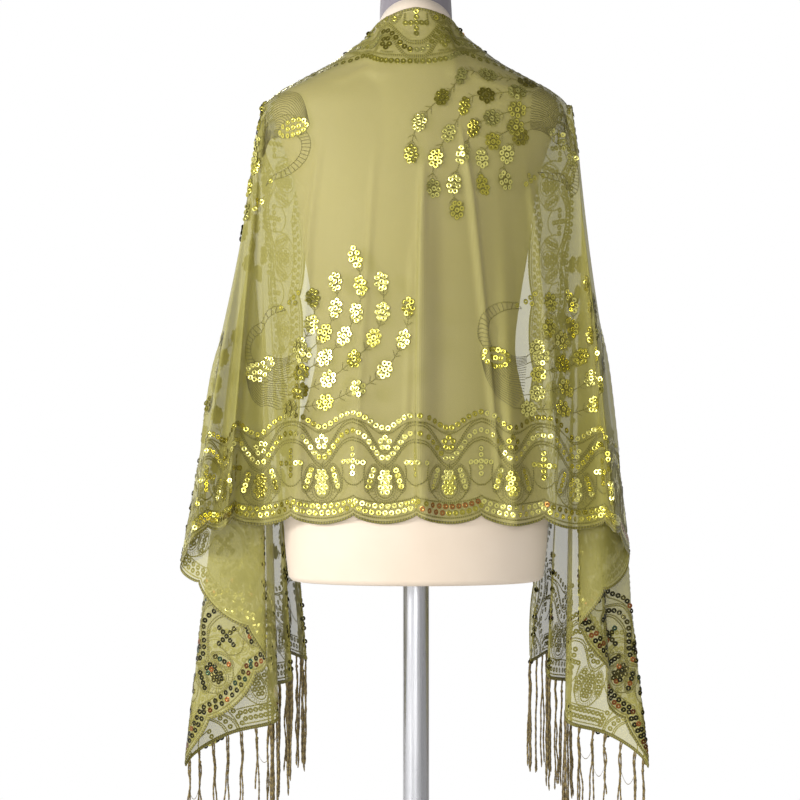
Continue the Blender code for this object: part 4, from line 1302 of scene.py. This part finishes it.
def build_fringe(net, name, material):
    """Bunches of plied threads under an end, some of them knotted once below the heading."""
    sign = SIDES[name]["sign"]
    rough = random.Random(FRINGE_SEED + sign)
    heading, inside = ([net.place(sign * along, across) for across in steps(END_SAMPLES, *END_LINE)]
                       for along in (END_ALONG, END_ALONG - END_PROBE))
    reached = lengths([point for point, _, _ in heading])
    bunches = round(reached[-1] / BUNCH_PITCH)
    batch, last_root = Batch(), None
    for bunch in range(bunches):
        wanted = (bunch + 0.5 + rough.uniform(-BUNCH_UNEVEN, BUNCH_UNEVEN)) * reached[-1] / bunches
        index, share = find_span(reached, wanted)
        point, facing, _ = heading[index]
        run = heading[index + 1][0] - point
        root, along, away = point + run * share, run.normalized(), (point - inside[index][0]).normalized()
        knotted, knot_drop = rough.random() < KNOTTED_SHARE, rough.uniform(*KNOT_DROP)
        sway = Vector((rough.uniform(-1, 1), rough.uniform(-SWAY_DEPTH, SWAY_DEPTH), 0)) * STRAND_SWAY
        strands = STRANDS[bunch % len(STRANDS)]
        for strand in range(strands):
            place = 2 * strand / (strands - 1) - 1
            start = along * (place * STRAND_SPREAD / 2) + facing * rough.uniform(-0.5, 0.5) * MM
            loose = Vector((rough.uniform(-1, 1), rough.uniform(-1, 1), 0)) * STRAND_LOOSE
            spread = loose + along * place * STRAND_FAN
            length = FRINGE_LENGTH * (1 + rough.uniform(*LENGTH_UNEVEN))
            if rough.random() < SHORT_SHARE:
                length *= rough.uniform(*SHORT_LENGTH)

            def offset_at(fall):
                narrow = exp(-((fall - knot_drop) / KNOT_NARROW) ** 2) if knotted else 0.0
                return (start * (1 - ease(fall, *STRAND_CLOSES)) + sway * (fall / FRINGE_LENGTH)
                        + spread * ease(fall, knot_drop, FRINGE_LENGTH * STRAND_OPEN)) * (1 - narrow)

            hanging_thread(batch, root - away * STRAND_ROOT, away, length, offset_at, rough)
        if knotted:
            knot(batch, root + away * (OVER_EDGE * KNOT_OUT) - Z * (knot_drop - KNOT_UP))
        if last_root and rough.random() < LOOP_SHARE:
            lower = away * OVER_EDGE - Z * rough.uniform(*LOOP_DROP)
            stray_loop(batch, last_root + lower, root + lower, rough.uniform(*LOOP_SAG))
        last_root = root
    return batch.piece("threads_" + name, material, "bronze_thread", "fringe_" + name)


# ---- the dress form and its stand
NECK_TOP, NECK_TOP_HALF = 1.555, 0.043
NECK_RINGS = 26
NECK_CLOSES = 0.93  # share of the neck's height from which its cover turns in
NECK_DRAWN = 0.006  # how far in it is drawn by the top
NECK_UPRIGHT = 0.7  # power of the height with which the seam's tilt fades
# The top of the cover: how far in from the neck's side, and height.
NECK_GATHERS = ((0.014, 0.0006), (0.026, 0.0), (0.036, -0.0006), (0.041, -0.003))
# Creases of the cover: how deep, how many round the neck, how they turn up it, and phase.
NECK_CREASES = ((0.9, 9, 1.3, 0.0), (0.6, 17, -2.0, 0.7), (0.5, 5, 7.0, 0.0))
CREASE_DEEP, CREASE_IN = 0.6 * MM, 0.8 * MM
CREASE_LEAST = 0.1  # share of that depth at the neck's foot,
CREASE_PACE = 1.3  # and again from 1 / CREASE_PACE of its height up
GATHERS, GATHERS_HIGH = 12, 0.5 * MM  # round the top
POLE_RADIUS, BASE_RADIUS, BASE_THICKNESS, BASE_RISE = 0.017, 0.19, 0.022, 0.01
COLLAR_RADIUS, COLLAR_HEIGHT, COLLAR_FLARE = 0.034, 0.045, 0.02
GAP = 0.0003
ROUND_POINTS = 96
SHARP_ANGLE = 40.0  # degrees, from which an edge of the stand stays sharp
SEAM_TURNS = [-90.0, -57.0, -123.0, 2.0, 178.0]  # round the form, in degrees: -90 is its front
SEAM_OFFSETS = (-0.014, -0.006, 0.0, 0.006, 0.014)  # of the points that draw a seam, in radians
SEAM_CLEAR = 0.02
SEAM_DIP = 0.7 * MM
TORSO_STEP = 0.008  # between two of the torso's sections
TORSO_FOOT = 0.006  # height of the last full one
TORSO_EDGE = ((0.004, 0.0012), (0.01, 0.0))  # how far in and up two more lie, which round its lower edge
CORNER_STEPS = 5


def form_turns(seams):
    """Angles round the form, with close ones at each seam."""
    turns = steps(ROUND_POINTS, 0, TURN)[:-1]
    for seam in seams:
        turns = [turn for turn in turns if abs(turn - seam) > SEAM_CLEAR]
        turns += [(seam + offset) % TURN for offset in SEAM_OFFSETS]
    return sorted(turns)


def form_section(height, half_width, front, back, tilt, turns, shrink=0.0, lift=0.0):
    section = []
    for turn in turns:
        y = ((back if sin(turn) > 0 else front) - shrink) * sin(turn)
        section.append(Vector(((half_width - shrink) * cos(turn), y,
                               height + lift + y * tan(radians(tilt)))))
    return section


def build_torso(material):
    seams = [radians(seam) % TURN for seam in SEAM_TURNS]
    turns = form_turns(seams)
    levels, rings = [], []
    for high, low in zip(FORM, FORM[1:]):
        levels += steps(max(1, round((high[0] - low[0]) / TORSO_STEP)), high[0], low[0])[:-1]
    for level in levels + [FORM[-1][0] + TORSO_FOOT]:
        section = form_section(level, *(read_curve(FORM, level, column) for column in (1, 2, 3, 4)), turns)
        for index, turn in enumerate(turns):
            if any(abs(turn - seam) < 0.001 for seam in seams):
                x, y, _ = section[index]
                section[index] = section[index] + Vector((-x, -y, 0)).normalized() * SEAM_DIP
        rings.append(section)
    rings += [form_section(*FORM[-1], turns, *one) for one in TORSO_EDGE]
    batch = Batch()
    batch.tube([section[::-1] for section in rings])
    return batch.piece("form_skin", material, "form_cover", "form_torso")


def build_neck(material):
    """The neck's own cover, drawn together over its top and creased down its sides."""
    foot, half_width, front, back, tilt = FORM[0]
    turns = steps(ROUND_POINTS, 0, TURN)[:-1]
    rings = []
    for share in steps(NECK_RINGS):
        closing = max(0.0, (share - NECK_CLOSES) / (1 - NECK_CLOSES))
        section = form_section(foot + (NECK_TOP - foot) * share, *(
            mix(size, NECK_TOP_HALF, share) for size in (half_width, front, back)),
            mix(tilt, 0.0, share ** NECK_UPRIGHT), turns, shrink=NECK_DRAWN * closing ** 2, lift=GAP)
        deep = CREASE_DEEP * mix(CREASE_LEAST, 1.0, sin(pi * min(1.0, share * CREASE_PACE)))
        for index, turn in enumerate(turns):
            folds = sum(height * sin(count * turn + rise * share + phase)
                        for height, count, rise, phase in NECK_CREASES)
            section[index] = section[index] + radial(turn) * (folds * deep - CREASE_IN)
        rings.append(section)
    for shrink, height in NECK_GATHERS:
        section = form_section(NECK_TOP, NECK_TOP_HALF, NECK_TOP_HALF, NECK_TOP_HALF, 0.0, turns, shrink=shrink)
        rings.append([point + Z * (height + GATHERS_HIGH * sin(GATHERS * turn))
                      for point, turn in zip(section, turns)])
    batch = Batch()
    batch.tube(rings)
    return batch.piece("neck_cover", material, "neck_band", "form_neck")


def rounded(profile):
    """A turned profile of (radius, height, rounding), with arcs in place of its corners."""
    made = []
    for index, (radius, height, rounding) in enumerate(profile):
        if not rounding:
            made.append((radius, height))
            continue
        here = Vector((radius, height))
        before, after = ((Vector(near[:2]) - here).normalized() * rounding
                         for near in beside(profile, index, (-1, 1)))
        for t in steps(CORNER_STEPS):
            made.append(tuple((here + before) * (1 - t) ** 2 + here * 2 * t * (1 - t) + (here + after) * t * t))
    return made


def build_turned(name, profile, material, slot, node, count):
    batch = Batch()
    batch.tube([ring(count, Z * height, X * radius, Y * radius) for radius, height in rounded(profile)])
    made = batch.piece(name, material, slot, node)
    made.data.set_sharp_from_angle(angle=radians(SHARP_ANGLE))


def build_stand(metal, painted):
    collar_foot = BASE_THICKNESS + BASE_RISE
    collar_top = collar_foot + COLLAR_HEIGHT
    build_turned("stand_base", [
        (BASE_RADIUS - 0.006, 0.0, 0),
        (BASE_RADIUS, 0.001, 0.002),
        (BASE_RADIUS, BASE_THICKNESS, 0.006),
        (COLLAR_RADIUS + COLLAR_FLARE, collar_foot, 0.015),
        (COLLAR_RADIUS, collar_foot + 0.008, 0.006),
        (COLLAR_RADIUS, collar_top, 0.005),
        (POLE_RADIUS + 0.002, collar_top, 0),
    ], painted, "base_paint", "form_base", 96)
    build_turned("stand_pole", [
        (POLE_RADIUS, collar_top + GAP, 0),
        (POLE_RADIUS, FORM[-1][0] - GAP, 0),
    ], metal, "pole_metal", "form_pole", 64)


# ---- light, floor and camera
PHOTO_DISTANCE, PHOTO_X, PHOTO_Z = 3.4, 0.0208, 0.975
PHOTO_HALF = 0.52  # of the view, at the form
SENSOR = 36.0
LIGHTS = [
    # name, place, size, power
    ("key", (2.9, 2.1, 1.6), 0.9, 80.0),
    ("flash", (0.25, 4.4, 1.5), 1.4, 66.0),
    ("fill", (-2.6, 2.2, 1.5), 1.6, 2.0),
    ("front", (0.6, -3.0, 2.2), 1.6, 30.0),
]
LIT = Vector((0.0, 0.0, 1.0))  # what they all face
SKY_DIFFUSE = (0.88, 0.52)  # strength low down and overhead, as the object is lit by it
SKY_GLOSSY = (1.15, 0.2)  # the same, as its foil mirrors it
SKY_RANGE = (0.04, 0.5)  # upward share of a direction, from low down to overhead
SKY_SIDES = (0.36, 1.12)  # and its share at the wearer's right and left,
SKY_ASIDE = 0.8  # this far aside
FLOOR_RINGS, FLOOR_LEVEL = (0.5, 1.4, 2.9), -0.0006
FLOOR_SIDES = 96


def set_world():
    """White behind the object, and a softer sky, brightest low down, that lights it."""
    world = SCENE.world = bpy.data.worlds.new("studio")
    world.use_nodes = True
    nodes = Nodes(world.node_tree)

    def way(axis):
        return nodes.node("SeparateXYZ", axis, i0=nodes.node("TexCoord", "Generated"))

    def seen(kind, otherwise, then):
        return nodes.node("Mix", i0=nodes.node("LightPath", kind), i2=otherwise, i3=then)

    shades = [nodes.spread(way("Z"), *SKY_RANGE, *one) for one in (SKY_DIFFUSE, SKY_GLOSSY)]
    side = nodes.spread(way("X"), -SKY_ASIDE, SKY_ASIDE, *SKY_SIDES)
    sky = nodes.math("MULTIPLY", seen("Is Glossy Ray", *shades), side)
    background = world.node_tree.nodes["Background"]
    nodes.join(seen("Is Camera Ray", sky, 1.0), background.inputs["Strength"])
    background.inputs["Color"].default_value = (1.0, 1.0, 1.0, 1.0)


def build_studio():
    set_world()
    for name, place, size, power in LIGHTS:
        lamp = bpy.data.lights.new(name, "AREA")
        lamp.shape, lamp.size, lamp.energy = "DISK", size, power
        made = add_object(name, lamp)
        made.location = place
        made.rotation_euler = (LIT - made.location).to_track_quat("-Z", "Y").to_euler()
    batch = Batch()
    rings = [ring(FLOOR_SIDES, Z * FLOOR_LEVEL, X * radius, Y * radius) for radius in FLOOR_RINGS]
    batch.strip([one + one[:1] for one in rings])
    batch.faces.append(tuple(range(FLOOR_SIDES)))
    add_object("floor", batch.mesh("floor", floor_material()))
    camera = bpy.data.cameras.new("camera")
    camera.sensor_width = SENSOR
    camera.lens = SENSOR / 2 * PHOTO_DISTANCE / PHOTO_HALF
    SCENE.camera = add_object("camera", camera)
    SCENE.camera.location = (PHOTO_X, PHOTO_DISTANCE, PHOTO_Z)
    SCENE.camera.rotation_euler = (pi / 2, 0.0, pi)
    SCENE.view_settings.view_transform = "Standard"
    SCENE.cycles.transparent_max_bounces = 32


# ---- everything
def main():
    build_studio()
    net = Net()
    stole = build_net(net, net_material())
    work = Embroidery(net, STITCH_SEED)
    border(work)
    birds(work)
    threads, foil = stitched_material("embroidery_thread", colour(106, 99, 34)), sequin_material()
    extras = [batch.piece("cords_" + name, threads, "olive_net") for name, batch in work.cords.items()]
    extras += [batch.piece("sequins_" + name, foil, "olive_net") for name, batch in work.sequins.items()]
    extras.append(build_edges(net, threads))
    fringe = stitched_material("bronze_thread", colour(76, 61, 32))
    extras += [build_fringe(net, name, fringe) for name in SIDES]
    skin = build_torso(cover_material())
    neck = build_neck(band_material())
    build_stand(metal_material(), paint_material())


main()
